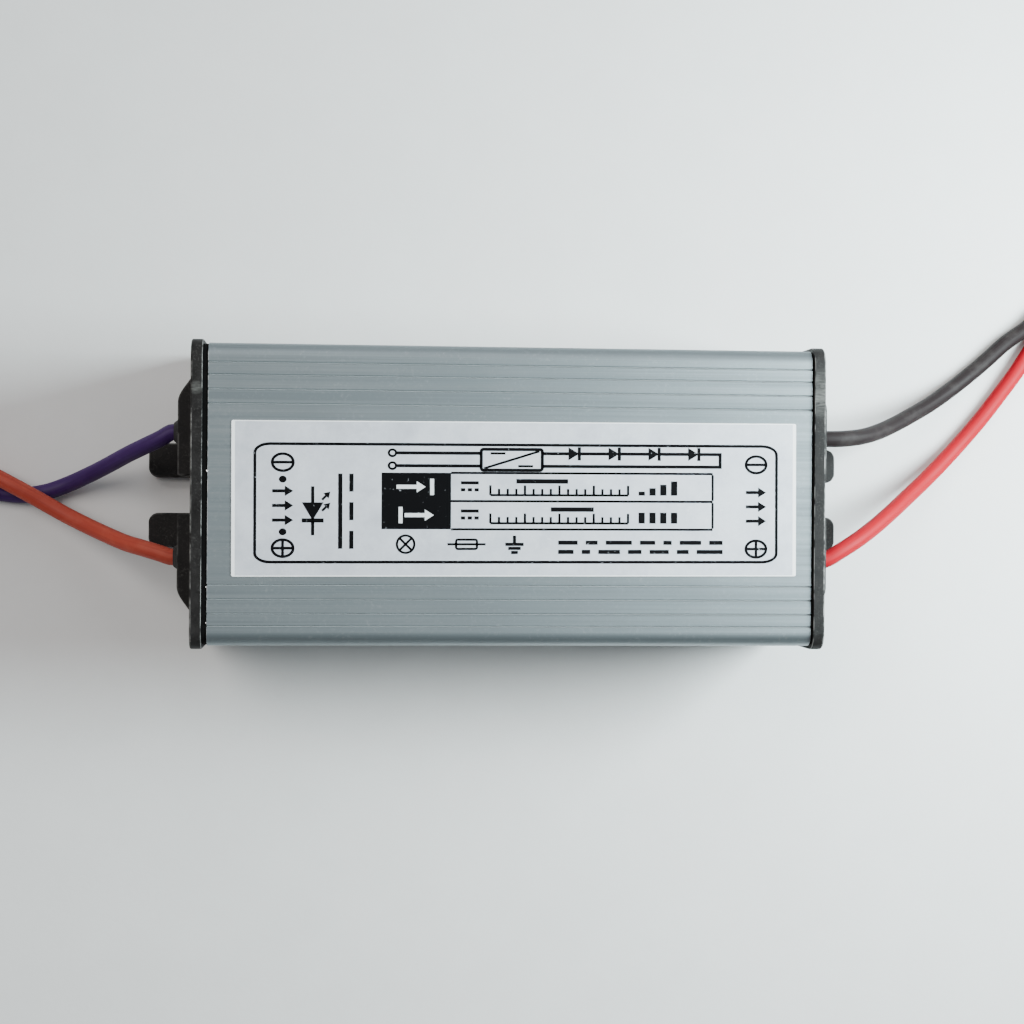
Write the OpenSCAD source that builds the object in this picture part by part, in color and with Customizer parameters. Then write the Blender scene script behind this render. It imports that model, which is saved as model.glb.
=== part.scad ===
// Sealed LED driver in a grooved aluminium extrusion with forked mounting feet.
// X runs from the input end (-X) to the output end (+X), Z is up and the base lies at z = 0.

/* [Housing] */
// Length of the aluminium extrusion
housing_l = 105; // [98:1:130]
// Width of the extrusion
housing_w = 52; // [49:0.5:60]
// Height of the extrusion
housing_h = 34; // [32:0.5:42]
// Wall thickness of the extrusion
wall_t = 2; // [1.6:0.1:2.4]
// Outer corner radius of the extrusion
corner_r = 2.5; // [2:0.1:3]
// Width of each groove in the top face
groove_w = 0.35; // [0.3:0.05:0.8]
// Depth of each groove in the top face
groove_d = 0.4; // [0.2:0.05:0.6]
// Distance of the innermost pair of grooves from the middle
groove_first_y = 15.5; // [14.5:0.1:16]
// Spacing of the three inner grooves on each side
groove_pitch = 2.45; // [1.8:0.05:2.5]
// Spacing of the outermost groove from its neighbour
groove_last_pitch = 2.15; // [1.8:0.05:2.5]
// Distance of a screw port's axis from the outer faces
port_inset = 4.4; // [4.2:0.1:5]
// Wall left around the screw in a port
port_wall = 1.4; // [1.1:0.1:1.5]
// Height of the circuit board's underside
board_z = 8.6; // [8.3:0.1:9.5]
// How far a board rail stands out of the side wall
rail_proud = 1.4; // [1:0.1:2]
// Thickness of a board rail
rail_t = 1; // [0.8:0.1:1.2]

/* [End caps] */
// Thickness of a cap plate
plate_t = 2; // [1.9:0.1:3]
// How far a cap plate stands past the extrusion at the sides and on top
plate_overhang = 0.6; // [0.3:0.1:1.2]
// How far the lead bosses stand out of the plate
boss_t = 3; // [2:0.1:4]
// Height of the bosses' underside
boss_z = 9; // [7:0.5:10]
// Height of the bosses
boss_h = 15; // [13:0.5:16]
// Half width of the bosses' flat face
boss_face_half = 16.2; // [15:0.1:17]
// Half width of the bosses where they run out on the plate
boss_toe_half = 22.6; // [20:0.1:23]
// Length of a mounting foot, out from the plate
foot_l = 10; // [8:0.5:14]
// Thickness of a mounting foot
foot_t = 3; // [2:0.1:4]
// Width of the open slot in a foot
slot_w = 6.6; // [5.5:0.1:7]
// Width of each prong beside the slot
prong_w = 6.4; // [5:0.1:7]
// Corner radius of the prongs' tips
prong_tip_r = 1.8; // [1:0.1:2.4]
// Radius of the fillet between a prong and the plate
prong_fillet_r = 2; // [1:0.1:2.5]

/* [Gaskets] */
// Thickness of a gasket when both are clamped alike
gasket_t = 0.6; // [0.4:0.1:1]
// How far both caps sit towards the input end, taken up by the gaskets
cap_shift = 0.3; // [0:0.05:0.3]
// How far a gasket's edge lies inside the extrusion's outline
gasket_inset = 0.2; // [0.1:0.1:0.4]

/* [Screws] */
// Diameter of a cap screw
screw_d = 3; // [2.5:0.1:3.2]
// Length of a cap screw with its head
screw_l = 10; // [8:0.5:14]
// Diameter of a countersunk head
head_d = 5.6; // [5:0.1:6]
// Height of a countersunk head
head_h = 1.5; // [1.2:0.1:1.8]

/* [Label] */
// Length of the rating label
label_l = 98; // [80:0.2:98]
// Width of the rating label
label_w = 26.7; // [20:0.1:28]
// Thickness of the rating label
label_t = 0.15; // [0.1:0.05:0.3]
// Shift of the label towards the output end
label_x = 0.6; // [0:0.1:1.5]
// Shift of the label sideways
label_y = -0.5; // [-0.8:0.1:0.8]
// Turn of the label on the top face
label_turn = 0.25; // [-0.5:0.05:0.5]

/* [Leads] */
// Diameter of a lead over its insulation
lead_d = 3; // [2.6:0.1:3.2]
// Distance of a lead's exit from the middle plane
lead_y = 11.2; // [10:0.1:12]
// Height of a lead's exit
lead_z = 16.5; // [16:0.1:18]
// Inner bend radius of a lead's middle line above the board
lead_bend_r = 5.5; // [5:0.1:5.8]
// Diameter of a grommet in its hole
grommet_d = 5.2; // [4.8:0.1:6]
// Diameter of a grommet's inner flange
grommet_flange_d = 7.6; // [6.8:0.1:9]
// Thickness of a grommet's inner flange
grommet_flange_t = 1.2; // [0.8:0.1:1.6]
// Length of a grommet's tapered nose outside
grommet_nose = 1.2; // [0.8:0.1:2]
// Radius of the coil that the spare lead is wound to
coil_r = 15.5; // [15:0.5:18]

/* [Board] */
// Thickness of the circuit board
board_t = 1.6; // [1:0.1:2]
// Gap between the board's end and the extrusion's end
board_end_gap = 3.5; // [3:0.1:4.5]
// Distance of a lead's pad from the board's end
pad_inset = 3; // [2.6:0.1:3.4]
// Thickness of the insulating sheet under the board
sheet_t = 0.3; // [0.2:0.05:0.5]

/* [Parts on the board] */
// Outer diameter of the inductor's ring core
core_od = 24; // [22:0.5:25]
// Inner diameter of the inductor's ring core
core_id = 12; // [11:0.5:13]
// Height of the inductor's ring core
core_h = 9; // [7:0.5:11]
// Diameter of the inductor's wire
wire_d = 1.1; // [0.9:0.1:1.2]
// Turns on the inductor
wire_turns = 16; // [10:1:18]
// Diameter of an input capacitor
in_cap_d = 12.5; // [10:0.5:13]
// Height of an input capacitor
in_cap_h = 16; // [12:0.5:18]
// Diameter of an output capacitor
out_cap_d = 10; // [8:0.5:12.5]
// Height of an output capacitor
out_cap_h = 17; // [12:0.5:18]
// Diameter of the fuse
fuse_d = 8.5; // [7:0.1:9]
// Height of the fuse
fuse_h = 8; // [6:0.5:10]
// Diameter of the filter choke
choke_d = 9; // [8:0.5:10]
// Height of the filter choke
choke_h = 11; // [8:0.5:13]
// Width of a power transistor's package
case_w = 8; // [7:0.1:9]
// Height of a power transistor's package
case_h = 11; // [10:0.1:12]
// Depth of a power transistor's package
case_d = 3.2; // [2.5:0.1:4]
// Distance of a power transistor's hole from its top
case_hole_drop = 3.8; // [3.4:0.1:4.5]
// Distance of each power transistor from the middle
case_x = 9; // [7:0.5:11]
// Thickness of the heat spreader bar
spreader_t = 2.5; // [2:0.1:3]
// Length of the heat spreader bar
spreader_l = 38; // [34:0.5:46]
// Thickness of the thermal pad
thermal_t = 0.5; // [0.3:0.1:0.8]
// Space kept between parts on the board
part_gap = 2.5; // [2:0.1:3]

/* [Fits] */
// Play of the board in its rails
board_play = 0.1; // [0.05:0.05:0.2]
// Play of the board between the side walls
board_side_play = 0.3; // [0.2:0.05:0.5]
// Play around a screw's shank in the plate and gasket
screw_play = 0.2; // [0.15:0.05:0.3]
// Play between thread and port
thread_play = 0.03; // [0.02:0.01:0.05]
// Play around a grommet in its hole
grommet_play = 0.05; // [0.03:0.01:0.1]
// Play around a lead in its grommet
lead_play = 0.1; // [0.05:0.01:0.15]
// Play around a pin in the board
pin_play = 0.1; // [0.05:0.05:0.2]
// Play between the winding and its core
winding_play = 0.3; // [0.25:0.05:0.4]

/* [Hidden] */
$fn = 48;
// Overlap that lets cuts and joined shapes run cleanly through a face
eps = 0.01;

// Stations along X, measured from the middle
gasket_x = housing_l / 2;
plate_x = gasket_x + gasket_t;
face_x = plate_x + plate_t;
exit_x = face_x + boss_t;

// Extrusion
cavity_r = max(corner_r - wall_t, 0.4);
side_y = housing_w / 2 - wall_t;
roof_z = housing_h - wall_t;
groove_steps = [0, groove_pitch, 2 * groove_pitch, 2 * groove_pitch + groove_last_pitch];
groove_ys = [for (s = [-1, 1], d = groove_steps) s * (groove_first_y + d)];
port_ys = [-1, 1] * (housing_w / 2 - port_inset);
port_zs = [port_inset, housing_h - port_inset];
port_r = screw_d / 2 + port_wall;

// Board
board_l = housing_l - 2 * board_end_gap;
board_w = 2 * (side_y - board_side_play);
board_top = board_z + board_t;
pad_x = board_l / 2 - pad_inset;
solder_h = 0.5;
conductor_d = 1.4;
pin_d = 0.8;
pin_tail = 1.2;

// Leads: outward side, exit side and way along X of each
lead_r = lead_d / 2;
ring_sides = 8;
coil_lift = 0.6;
turn_space = 0.1;
coil_half = lead_d + turn_space;
coil_h = 2 * lead_d + turn_space;
coil_edge_r = 1.4;
lane = (lead_d + turn_space) / 2;
spur_l = 2 * sqrt(coil_r * coil_half) + 0.5;
tie_t = 0.5;
tie_w = 2.6;
tie_play = 0.1;
tie_head = [4, 4.4, 2.6];
tie_turn = 160;

// Parts on the board: middle points
winding_off = wire_d / 2 + winding_play;
inductor_half = core_od / 2 + winding_off + wire_d / 2;
inductor_at = [0, 1];
in_cap_x = -(inductor_half + part_gap + in_cap_d / 2);
in_cap_split = in_cap_d / 2 + 0.6;
in_cap_y = -1;
out_cap_x = inductor_half + part_gap + out_cap_d / 2;
out_cap_split = out_cap_d / 2 + 0.8;
out_cap_y = 3;
fuse_at = [in_cap_x - in_cap_d / 2 - part_gap - fuse_d / 2, 0];
choke_at = [out_cap_x, out_cap_y - 2 * out_cap_split - part_gap - choke_d / 2 + 1];
diode_inset = [2, 7.5];
diode_at = [fuse_at[0] + diode_inset[0], -(side_y - diode_inset[1])];
chip_y = -(side_y - rail_proud - 3.8);
controller_at = [-8, chip_y];
amplifier_at = [6, chip_y];
cap_pitch = 5;
fuse_pitch = 5;
choke_pitch = 5;
case_pitch = 2.54;
case_z = board_top + 1.8;
spreader_y = side_y - thermal_t - spreader_t;
case_front_y = spreader_y - case_d;
case_pin_y = case_front_y + case_d / 2;
case_hole_z = case_z + case_h - case_hole_drop;
case_screw_d = 2.5;
spreader_z = board_top + board_play + rail_t + 0.4;
spreader_h = case_z + case_h - spreader_z;
chip_size = [4.9, 3.9, 1.5];
chip_part_size = [2, 1.25, 0.6];
chip_part_out = 7;
chip_part_pitch = 2.4;
sense_size = [6.4, 3.2, 0.7];
sense_pitch = 5;
sense_at = [pad_x - 7, 4.5];

// Places where pins pass through the board, by part
cap_pins = [
  for (s = [-1, 1], p = [-1, 1])
    [in_cap_x, in_cap_y + s * in_cap_split + p * cap_pitch / 2]
];
out_cap_pins = [
  for (s = [-1, 1], p = [-1, 1])
    [out_cap_x, out_cap_y + s * out_cap_split + p * cap_pitch / 2]
];
fuse_pins = [for (p = [-1, 1]) fuse_at + [0, p * fuse_pitch / 2]];
choke_pins = [for (p = [-1, 1]) choke_at + [0, p * choke_pitch / 2]];
case_pins = [for (s = [-1, 1], p = [-1 : 1]) [s * case_x + p * case_pitch, case_pin_y]];
lead_pads = [for (e = [-1, 1], s = [-1, 1]) [e * pad_x, s * lead_y]];

// Small vector helpers
function unit(v) = v / norm(v);
function xy(p, z) = [p[0], p[1], z];
function turned(p, a) = [p[0] * cos(a) - p[1] * sin(a), p[0] * sin(a) + p[1] * cos(a)];

// Direction of a path at point i
function along(path, i) =
  unit(path[min(i + 1, len(path) - 1)] - path[max(i - 1, 0)]);

// One ring of a swept tube: ref is any direction that the path doesn't follow
function tube_ring(p, t, ref, r, sides) =
  let (n1 = unit(ref - (ref * t) * t), n2 = cross(t, n1))
    [for (j = [0 : sides - 1]) p + r * (cos(j * 360 / sides) * n1 + sin(j * 360 / sides) * n2)];

// Leads. A route is [way out of the boss face, y, z] at points chosen by eye from the exit on.
// The stretch inside bends down to its pad, and the last stretch runs straight into the coil.
input_coil_at = [58, 18.5];
input_coil_turn = 180;
output_coil_at = [69.5, 34];
output_coil_turn = 45;

input_negative_route = [
  [3.5, 10.1, 16.2], [7, 8.5, 14.4], [10, 7.2, 11.7], [14, 5.3, 7.7], [18, 3.5, 4.3],
  [22, 1.8, 2.2], [26, 0.4, 1.6], [30, -0.2, 1.6], [34, 0.1, 1.6], [38, 0.9, 1.9]
];
input_positive_route = [
  [3.5, -10.6, 16.2], [7, -9.6, 14.9], [10, -8.8, 12.9], [14, -7.3, 9.8], [18, -5.6, 7.1],
  [22, -3.7, 5.4], [26, -1.5, 4.8], [29, 0.2, 4.8], [32, 1.8, 4.6], [35, 3.3, 3.6], [38, 4.3, 2.5]
];
output_negative_route = [
  [5, 11.3, 16.2], [9, 11.8, 14.6], [13, 12.9, 12], [17, 14.5, 9.2], [21, 16.4, 6.7],
  [25, 18.5, 4.6], [29, 21, 2.8], [33, 23.9, 1.8], [37, 27.2, 1.6], [41, 30.8, 1.7]
];
output_positive_route = [
  [4.5, -9.6, 16.2], [8, -7.6, 15], [12, -5.1, 12.7], [16, -2.3, 10.1], [20, 0.7, 7.4],
  [24, 3.8, 5], [28, 7.3, 3.2], [32, 11.2, 1.9], [36, 15.7, 1.6], [40, 20.8, 1.6], [43, 24.9, 1.8]
];

// X at a distance d out from the boss face, at the end e (-1 input, 1 output)
function out_x(e, d) = e * (exit_x + d) - cap_shift;

// Ground place of a coil's middle
function coil_ground(e, at) = [out_x(e, at[0]), at[1]];

// Where lane k (-1 inner, 1 outer) of a coil takes its lead in, back steps before the turn starts
function coil_port(e, at, turn, k, back) =
  xy(coil_ground(e, at) + turned([-back, coil_r + k * lane], turn), coil_lift + lead_r);

// Whole path of a lead from its pad to the coil
function lead_path(e, y, route, at, turn, k) = concat(
  [[e * pad_x, y, board_top + solder_h]],
  [
    for (a = [0 : 30 : 90])
      [
        e * (pad_x + lead_bend_r * (1 - cos(a))),
        y,
        lead_z - lead_bend_r * (1 - sin(a))
      ]
  ],
  [[out_x(e, 0), y, lead_z], [out_x(e, grommet_nose + 0.4), y, lead_z]],
  [for (p = route) [out_x(e, p[0]), p[1], p[2]]],
  [coil_port(e, at, turn, k, spur_l + 2.5), coil_port(e, at, turn, k, spur_l)]
);

// Inductor winding: turns laid round the core's section, with a tail down to the board at each end
winding_steps = 16;
winding_span = 318;
function rounded(c) = sign(c) * sqrt(abs(c));
function winding_point(i) =
  let (
    a = i / winding_steps * winding_span / wire_turns,
    s = i / winding_steps * 360,
    half_w = (core_od - core_id) / 4 + winding_off,
    half_h = core_h / 2 + winding_off,
    r = (core_od + core_id) / 4 + half_w * rounded(cos(s)),
    mid_z = board_top + half_h + wire_d / 2
  )
    [inductor_at[0] + r * cos(a), inductor_at[1] + r * sin(a), mid_z + half_h * rounded(sin(s))];
function winding_ref(i) =
  let (a = i / winding_steps * winding_span / wire_turns) [-sin(a), cos(a), 0];

// Plain shapes

module rounded_square(w, h, r) {
  translate([r, 0]) square([w - 2 * r, h]);
  translate([0, r]) square([w, h - 2 * r]);
  for (x = [r, w - r], y = [r, h - r])
    translate([x, y]) circle(r);
}

// Extrudes a section drawn in Y and Z along X, from x0 over the length l
module along_x(x0, l) {
  translate([x0, 0, 0]) rotate([90, 0, 90]) linear_extrude(l) children();
}

// The same shape at the input end (-1) or the output end (1)
module at_end(e) {
  mirror([e < 0 ? 1 : 0, 0, 0]) children();
}

// The same, moved with the cap at that end
module on_cap(e) {
  translate([-cap_shift, 0, 0]) at_end(e) children();
}

module tube(path, refs, r, sides) {
  n = len(path);
  points = [for (i = [0 : n - 1]) each tube_ring(path[i], along(path, i), refs[i], r, sides)];
  walls = [
    for (i = [0 : n - 2], j = [0 : sides - 1])
      let (k = (j + 1) % sides)
        [i * sides + j, (i + 1) * sides + j, (i + 1) * sides + k, i * sides + k]
  ];
  first = [for (j = [0 : sides - 1]) j];
  last = [for (j = [sides - 1 : -1 : 0]) (n - 1) * sides + j];
  polyhedron(points, concat([first], walls, [last]));
}

module pins(places, d) {
  for (p = places)
    translate(xy(p, board_z - pin_tail)) cylinder(d = d, h = board_t + pin_tail + eps);
}

// Housing

module screw_ports(r) {
  for (y = port_ys, z = port_zs)
    translate([y, z]) circle(r);
}

module outline(grow) {
  translate([-housing_w / 2 - grow, 0])
    rounded_square(housing_w + 2 * grow, housing_h + grow, corner_r + grow);
}

module cavity() {
  translate([-side_y, wall_t])
    rounded_square(2 * side_y, roof_z - wall_t, cavity_r);
}

module board_rails() {
  for (s = [0, 1])
    mirror([s, 0])
      for (z = [board_z - board_play - rail_t, board_top + board_play])
        translate([side_y - rail_proud, z]) square([rail_proud + eps, rail_t]);
}

module housing_section() {
  difference() {
    union() {
      difference() {
        outline(0);
        cavity();
      }
      intersection() {
        union() {
          screw_ports(port_r);
          board_rails();
        }
        outline(0);
      }
    }
    screw_ports(screw_d / 2 + thread_play);
    for (y = groove_ys)
      polygon([
        [y - groove_w / 2, housing_h + eps],
        [y, housing_h - groove_d],
        [y + groove_w / 2, housing_h + eps]
      ]);
  }
}

module housing() {
  color("#b9bdc4") along_x(-housing_l / 2, housing_l) housing_section();
}

// End caps

// Half of the boss in plan: flat face, then a flank that runs out on the plate in an S
module boss_plan() {
  flank_steps = 10;
  flank = [
    for (i = [0 : flank_steps])
      let (u = i / flank_steps)
        [
          face_x + boss_t * (1 + cos(180 * u)) / 2,
          boss_face_half + u * (boss_toe_half - boss_face_half)
        ]
  ];
  polygon(concat(
    [[face_x - eps, boss_toe_half], [face_x - eps, slot_w / 2], [exit_x, slot_w / 2]],
    [for (p = flank) if (p[0] > face_x) p],
    [[face_x, boss_toe_half]]
  ));
}

// One prong of the foot in plan, with round tips and a fillet against the plate
module prong_plan() {
  translate([face_x - eps, slot_w / 2]) {
    square([foot_l - prong_tip_r, prong_w]);
    translate([0, prong_tip_r]) square([foot_l + eps, prong_w - 2 * prong_tip_r]);
    for (y = [prong_tip_r, prong_w - prong_tip_r])
      translate([foot_l + eps - prong_tip_r, y]) circle(prong_tip_r);
    translate([0, prong_w - eps])
      difference() {
        square(prong_fillet_r + eps);
        translate([prong_fillet_r + eps, prong_fillet_r + eps]) circle(prong_fillet_r);
      }
  }
}

module end_cap_body() {
  difference() {
    union() {
      along_x(plate_x, plate_t) outline(plate_overhang);
      for (s = [0, 1])
        mirror([0, s, 0]) {
          translate([0, 0, boss_z]) linear_extrude(boss_h) boss_plan();
          linear_extrude(foot_t) prong_plan();
        }
    }
    along_x(plate_x - eps, plate_t + 2 * eps) screw_ports(screw_d / 2 + screw_play);
    for (y = port_ys, z = port_zs)
      translate([face_x - head_h, y, z]) rotate([0, 90, 0])
        cylinder(d1 = screw_d + 2 * screw_play, d2 = head_d + 2 * screw_play, h = head_h + eps);
    for (s = [-1, 1])
      translate([plate_x - eps, s * lead_y, lead_z]) rotate([0, 90, 0])
        cylinder(d = grommet_d + 2 * grommet_play, h = plate_t + boss_t + 2 * eps);
  }
}

module input_end_cap() {
  color("#26262a") on_cap(-1) end_cap_body();
}

module output_end_cap() {
  color("#26262a") on_cap(1) end_cap_body();
}

// Gaskets

module gasket_body(e) {
  along_x(gasket_x, gasket_t - e * cap_shift)
    difference() {
      translate([-housing_w / 2 + gasket_inset, gasket_inset])
        rounded_square(
          housing_w - 2 * gasket_inset, housing_h - 2 * gasket_inset, corner_r - gasket_inset
        );
      difference() {
        cavity();
        screw_ports(port_r);
      }
      screw_ports(screw_d / 2 + screw_play);
    }
}

module input_gasket() {
  color("#101012") at_end(-1) gasket_body(-1);
}

module output_gasket() {
  color("#101012") at_end(1) gasket_body(1);
}

// Cap screws

module cross_recess(size, depth) {
  for (a = [0, 90])
    rotate([0, 0, a]) translate([-size / 2, -size / 8, -depth]) cube([size, size / 4, depth + eps]);
}

// Countersunk screw along Z with its head's top at z = 0
module cap_screw() {
  difference() {
    union() {
      translate([0, 0, -head_h]) cylinder(d1 = screw_d, d2 = head_d, h = head_h);
      translate([0, 0, -screw_l]) cylinder(d = screw_d, h = screw_l - head_h + eps);
    }
    cross_recess(screw_d, head_h * 0.7);
  }
}

module end_cap_screws() {
  color("#8f9296")
    for (e = [-1, 1], y = port_ys, z = port_zs)
      on_cap(e) translate([face_x, y, z]) rotate([0, 90, 0]) cap_screw();
}

// Label

module rating_label() {
  color("#d4d6da")
    translate([label_x, label_y, housing_h]) rotate([0, 0, label_turn])
      translate([-label_l / 2, -label_w / 2, 0]) cube([label_l, label_w, label_t]);
}

// Grommets and leads

module grommet(e, s) {
  bore = lead_r + lead_play;
  body_l = plate_t + boss_t;
  on_cap(e) translate([plate_x, s * lead_y, lead_z]) rotate([0, 90, 0])
    rotate_extrude()
      polygon([
        [bore, -grommet_flange_t],
        [grommet_flange_d / 2, -grommet_flange_t],
        [grommet_flange_d / 2, 0],
        [grommet_d / 2, 0],
        [grommet_d / 2, body_l],
        [bore + 0.12, body_l + grommet_nose],
        [bore, body_l + grommet_nose]
      ]);
}

module input_negative_grommet() {
  color("#1b1b1d") grommet(-1, 1);
}

module input_positive_grommet() {
  color("#1b1b1d") grommet(-1, -1);
}

module output_negative_grommet() {
  color("#1b1b1d") grommet(1, 1);
}

module output_positive_grommet() {
  color("#1b1b1d") grommet(1, -1);
}

// Y never lies along a lead, so it steadies the rings
module lead(path) {
  tube(path, [for (p = path) [0, 1, 0]], lead_r, ring_sides);
}

module input_negative_lead() {
  color("#4a4fb0")
    lead(lead_path(-1, lead_y, input_negative_route, input_coil_at, input_coil_turn, 1));
}

module input_positive_lead() {
  color("#e2572b")
    lead(lead_path(-1, -lead_y, input_positive_route, input_coil_at, input_coil_turn, -1));
}

module output_negative_lead() {
  color("#2e2e32")
    lead(lead_path(1, lead_y, output_negative_route, output_coil_at, output_coil_turn, 1));
}

module output_positive_lead() {
  color("#d3202a")
    lead(lead_path(1, -lead_y, output_positive_route, output_coil_at, output_coil_turn, -1));
}

// Outer shape of both spare ends of a side, wound together, with the short straight way in
module lead_coil(e, at, turn) {
  translate(xy(coil_ground(e, at), coil_lift)) rotate([0, 0, turn]) {
    rotate_extrude()
      translate([coil_r - coil_half, 0]) rounded_square(2 * coil_half, coil_h, coil_edge_r);
    translate([-spur_l, coil_r - coil_half, 0]) cube([spur_l, 2 * coil_half, lead_d]);
  }
}

module input_lead_coil() {
  color("#7b4f78") lead_coil(-1, input_coil_at, input_coil_turn);
}

module output_lead_coil() {
  color("#6d2a2f") lead_coil(1, output_coil_at, output_coil_turn);
}

// Strap round the coil's section, just past the way in, with its lock on top
module coil_tie(e, at, turn) {
  inner = [2 * (coil_half + tie_play), coil_h + 2 * tie_play];
  translate(xy(coil_ground(e, at), coil_lift - tie_play)) rotate([0, 0, turn + tie_turn])
    translate([-tie_w / 2, -coil_r - inner[0] / 2, 0]) {
      difference() {
        translate([0, -tie_t, -tie_t]) cube([tie_w, inner[0] + 2 * tie_t, inner[1] + 2 * tie_t]);
        translate([-eps, 0, 0]) cube([tie_w + 2 * eps, inner[0], inner[1]]);
      }
      translate([(tie_w - tie_head[0]) / 2, (inner[0] - tie_head[1]) / 2, inner[1] + tie_t - eps])
        cube(tie_head);
    }
}

module input_coil_tie() {
  color("#161618") coil_tie(-1, input_coil_at, input_coil_turn);
}

module output_coil_tie() {
  color("#161618") coil_tie(1, output_coil_at, output_coil_turn);
}

// Circuit board

module circuit_board() {
  color("#1f5c38")
    difference() {
      translate([-board_l / 2, -board_w / 2, board_z]) cube([board_l, board_w, board_t]);
      for (p = concat(cap_pins, out_cap_pins, fuse_pins, choke_pins, case_pins))
        translate(xy(p, board_z - eps)) cylinder(d = pin_d + 2 * pin_play, h = board_t + 2 * eps);
      for (p = lead_pads)
        translate(xy(p, board_z - eps))
          cylinder(d = conductor_d + 2 * pin_play, h = board_t + 2 * eps);
    }
}

module insulating_sheet() {
  sheet_w = 2 * (port_ys[1] - port_r - 0.5);
  color("#e8e4d2")
    translate([-board_l / 2, -sheet_w / 2, wall_t]) cube([board_l, sheet_w, sheet_t]);
}

// A lead's bared end in the board with the solder above and below it
module lead_solder_joints() {
  color("#c3c5c8")
    for (p = lead_pads)
      translate(xy(p, 0)) {
        translate([0, 0, board_top]) cylinder(d1 = 4, d2 = lead_d - 0.1, h = solder_h);
        translate([0, 0, board_z - eps]) cylinder(d = conductor_d, h = board_t + 2 * eps);
        translate([0, 0, board_z - pin_tail]) cylinder(d1 = conductor_d, d2 = 3.6, h = pin_tail);
      }
}

// Parts on the board

module can(at, d, h, places) {
  r = d / 2;
  translate(xy(at, board_top))
    rotate_extrude()
      polygon([
        [0, 0], [r - 0.4, 0], [r, 0.4], [r, 1.8], [r - 0.5, 2.3], [r, 2.8],
        [r, h - 0.5], [r - 0.5, h], [r - 1.2, h], [r - 1.2, h - 0.2], [0, h - 0.2]
      ]);
  pins(places, pin_d);
}

module input_capacitor_a() {
  color("#23314f")
    can([in_cap_x, in_cap_y - in_cap_split], in_cap_d, in_cap_h, [cap_pins[0], cap_pins[1]]);
}

module input_capacitor_b() {
  color("#23314f")
    can([in_cap_x, in_cap_y + in_cap_split], in_cap_d, in_cap_h, [cap_pins[2], cap_pins[3]]);
}

module output_capacitor_a() {
  color("#23314f")
    can(
      [out_cap_x, out_cap_y - out_cap_split], out_cap_d, out_cap_h,
      [out_cap_pins[0], out_cap_pins[1]]
    );
}

module output_capacitor_b() {
  color("#23314f")
    can(
      [out_cap_x, out_cap_y + out_cap_split], out_cap_d, out_cap_h,
      [out_cap_pins[2], out_cap_pins[3]]
    );
}

module inductor_core() {
  core_w = (core_od - core_id) / 2;
  color("#d8c23a")
    translate(xy(inductor_at, board_top + wire_d + winding_play))
      rotate_extrude()
        translate([core_id / 2, 0]) rounded_square(core_w, core_h, core_w / 3);
}

module inductor_winding() {
  count = wire_turns * winding_steps;
  path = [for (i = [0 : count]) winding_point(i)];
  refs = [for (i = [0 : count]) winding_ref(i)];
  color("#b5652b") tube(path, refs, wire_d / 2, 6);
}

// Flange thickness and hub diameter of the choke's bobbin shape
choke_flange = 1.6;
choke_hub_d = choke_d * 0.45;

module choke_core() {
  color("#3a3a3d") {
    translate(xy(choke_at, board_top)) {
      cylinder(d = choke_d, h = choke_flange);
      cylinder(d = choke_hub_d, h = choke_h);
      translate([0, 0, choke_h - choke_flange]) cylinder(d = choke_d, h = choke_flange);
    }
    pins(choke_pins, pin_d);
  }
}

module choke_winding() {
  winding_h = choke_h - 2 * choke_flange - 2 * pin_play;
  color("#b5652b")
    translate(xy(choke_at, board_top + choke_flange + pin_play))
      difference() {
        cylinder(d = choke_d - 0.6, h = winding_h);
        translate([0, 0, -eps])
          cylinder(d = choke_hub_d + 2 * pin_play, h = winding_h + 2 * eps);
      }
}

// Power package: flat back against the spreader, a screw hole and three legs into the board
module power_package(x, places) {
  difference() {
    translate([x - case_w / 2, case_front_y, case_z]) cube([case_w, case_d, case_h]);
    translate([x, spreader_y + eps, case_hole_z]) rotate([90, 0, 0])
      cylinder(d = case_screw_d + 2 * screw_play, h = case_d + 2 * eps);
  }
  for (p = places)
    translate(xy(p, board_z - pin_tail))
      cylinder(d = pin_d, h = case_z + eps - board_z + pin_tail);
}

module power_mosfet() {
  color("#29292c") power_package(-case_x, [for (i = [0 : 2]) case_pins[i]]);
}

module rectifier_diode() {
  color("#29292c") power_package(case_x, [for (i = [3 : 5]) case_pins[i]]);
}

module heat_spreader() {
  color("#c2c5c9")
    difference() {
      translate([-spreader_l / 2, spreader_y, spreader_z])
        cube([spreader_l, spreader_t, spreader_h]);
      for (s = [-1, 1])
        translate([s * case_x, spreader_y - eps, case_hole_z]) rotate([-90, 0, 0])
          cylinder(d = case_screw_d + 2 * thread_play, h = spreader_t + 2 * eps);
    }
}

module thermal_pad() {
  color("#9fb4c9")
    translate([-spreader_l / 2, side_y - thermal_t, spreader_z])
      cube([spreader_l, thermal_t, spreader_h]);
}

module transistor_screws() {
  reach = case_d + spreader_t;
  pan_d = 2 * case_screw_d;
  pan_h = 1.8;
  color("#9a9da1")
    for (s = [-1, 1])
      translate([s * case_x, case_front_y, case_hole_z]) rotate([90, 0, 0])
        difference() {
          union() {
            translate([0, 0, -reach]) cylinder(d = case_screw_d, h = reach + eps);
            cylinder(d = pan_d, h = pan_h);
          }
          translate([0, 0, pan_h]) cross_recess(case_screw_d, pan_h * 0.6);
        }
}

module input_fuse() {
  color("#7a3f22") {
    translate(xy(fuse_at, board_top)) cylinder(d = fuse_d, h = fuse_h);
    pins(fuse_pins, pin_d);
  }
}

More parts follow.
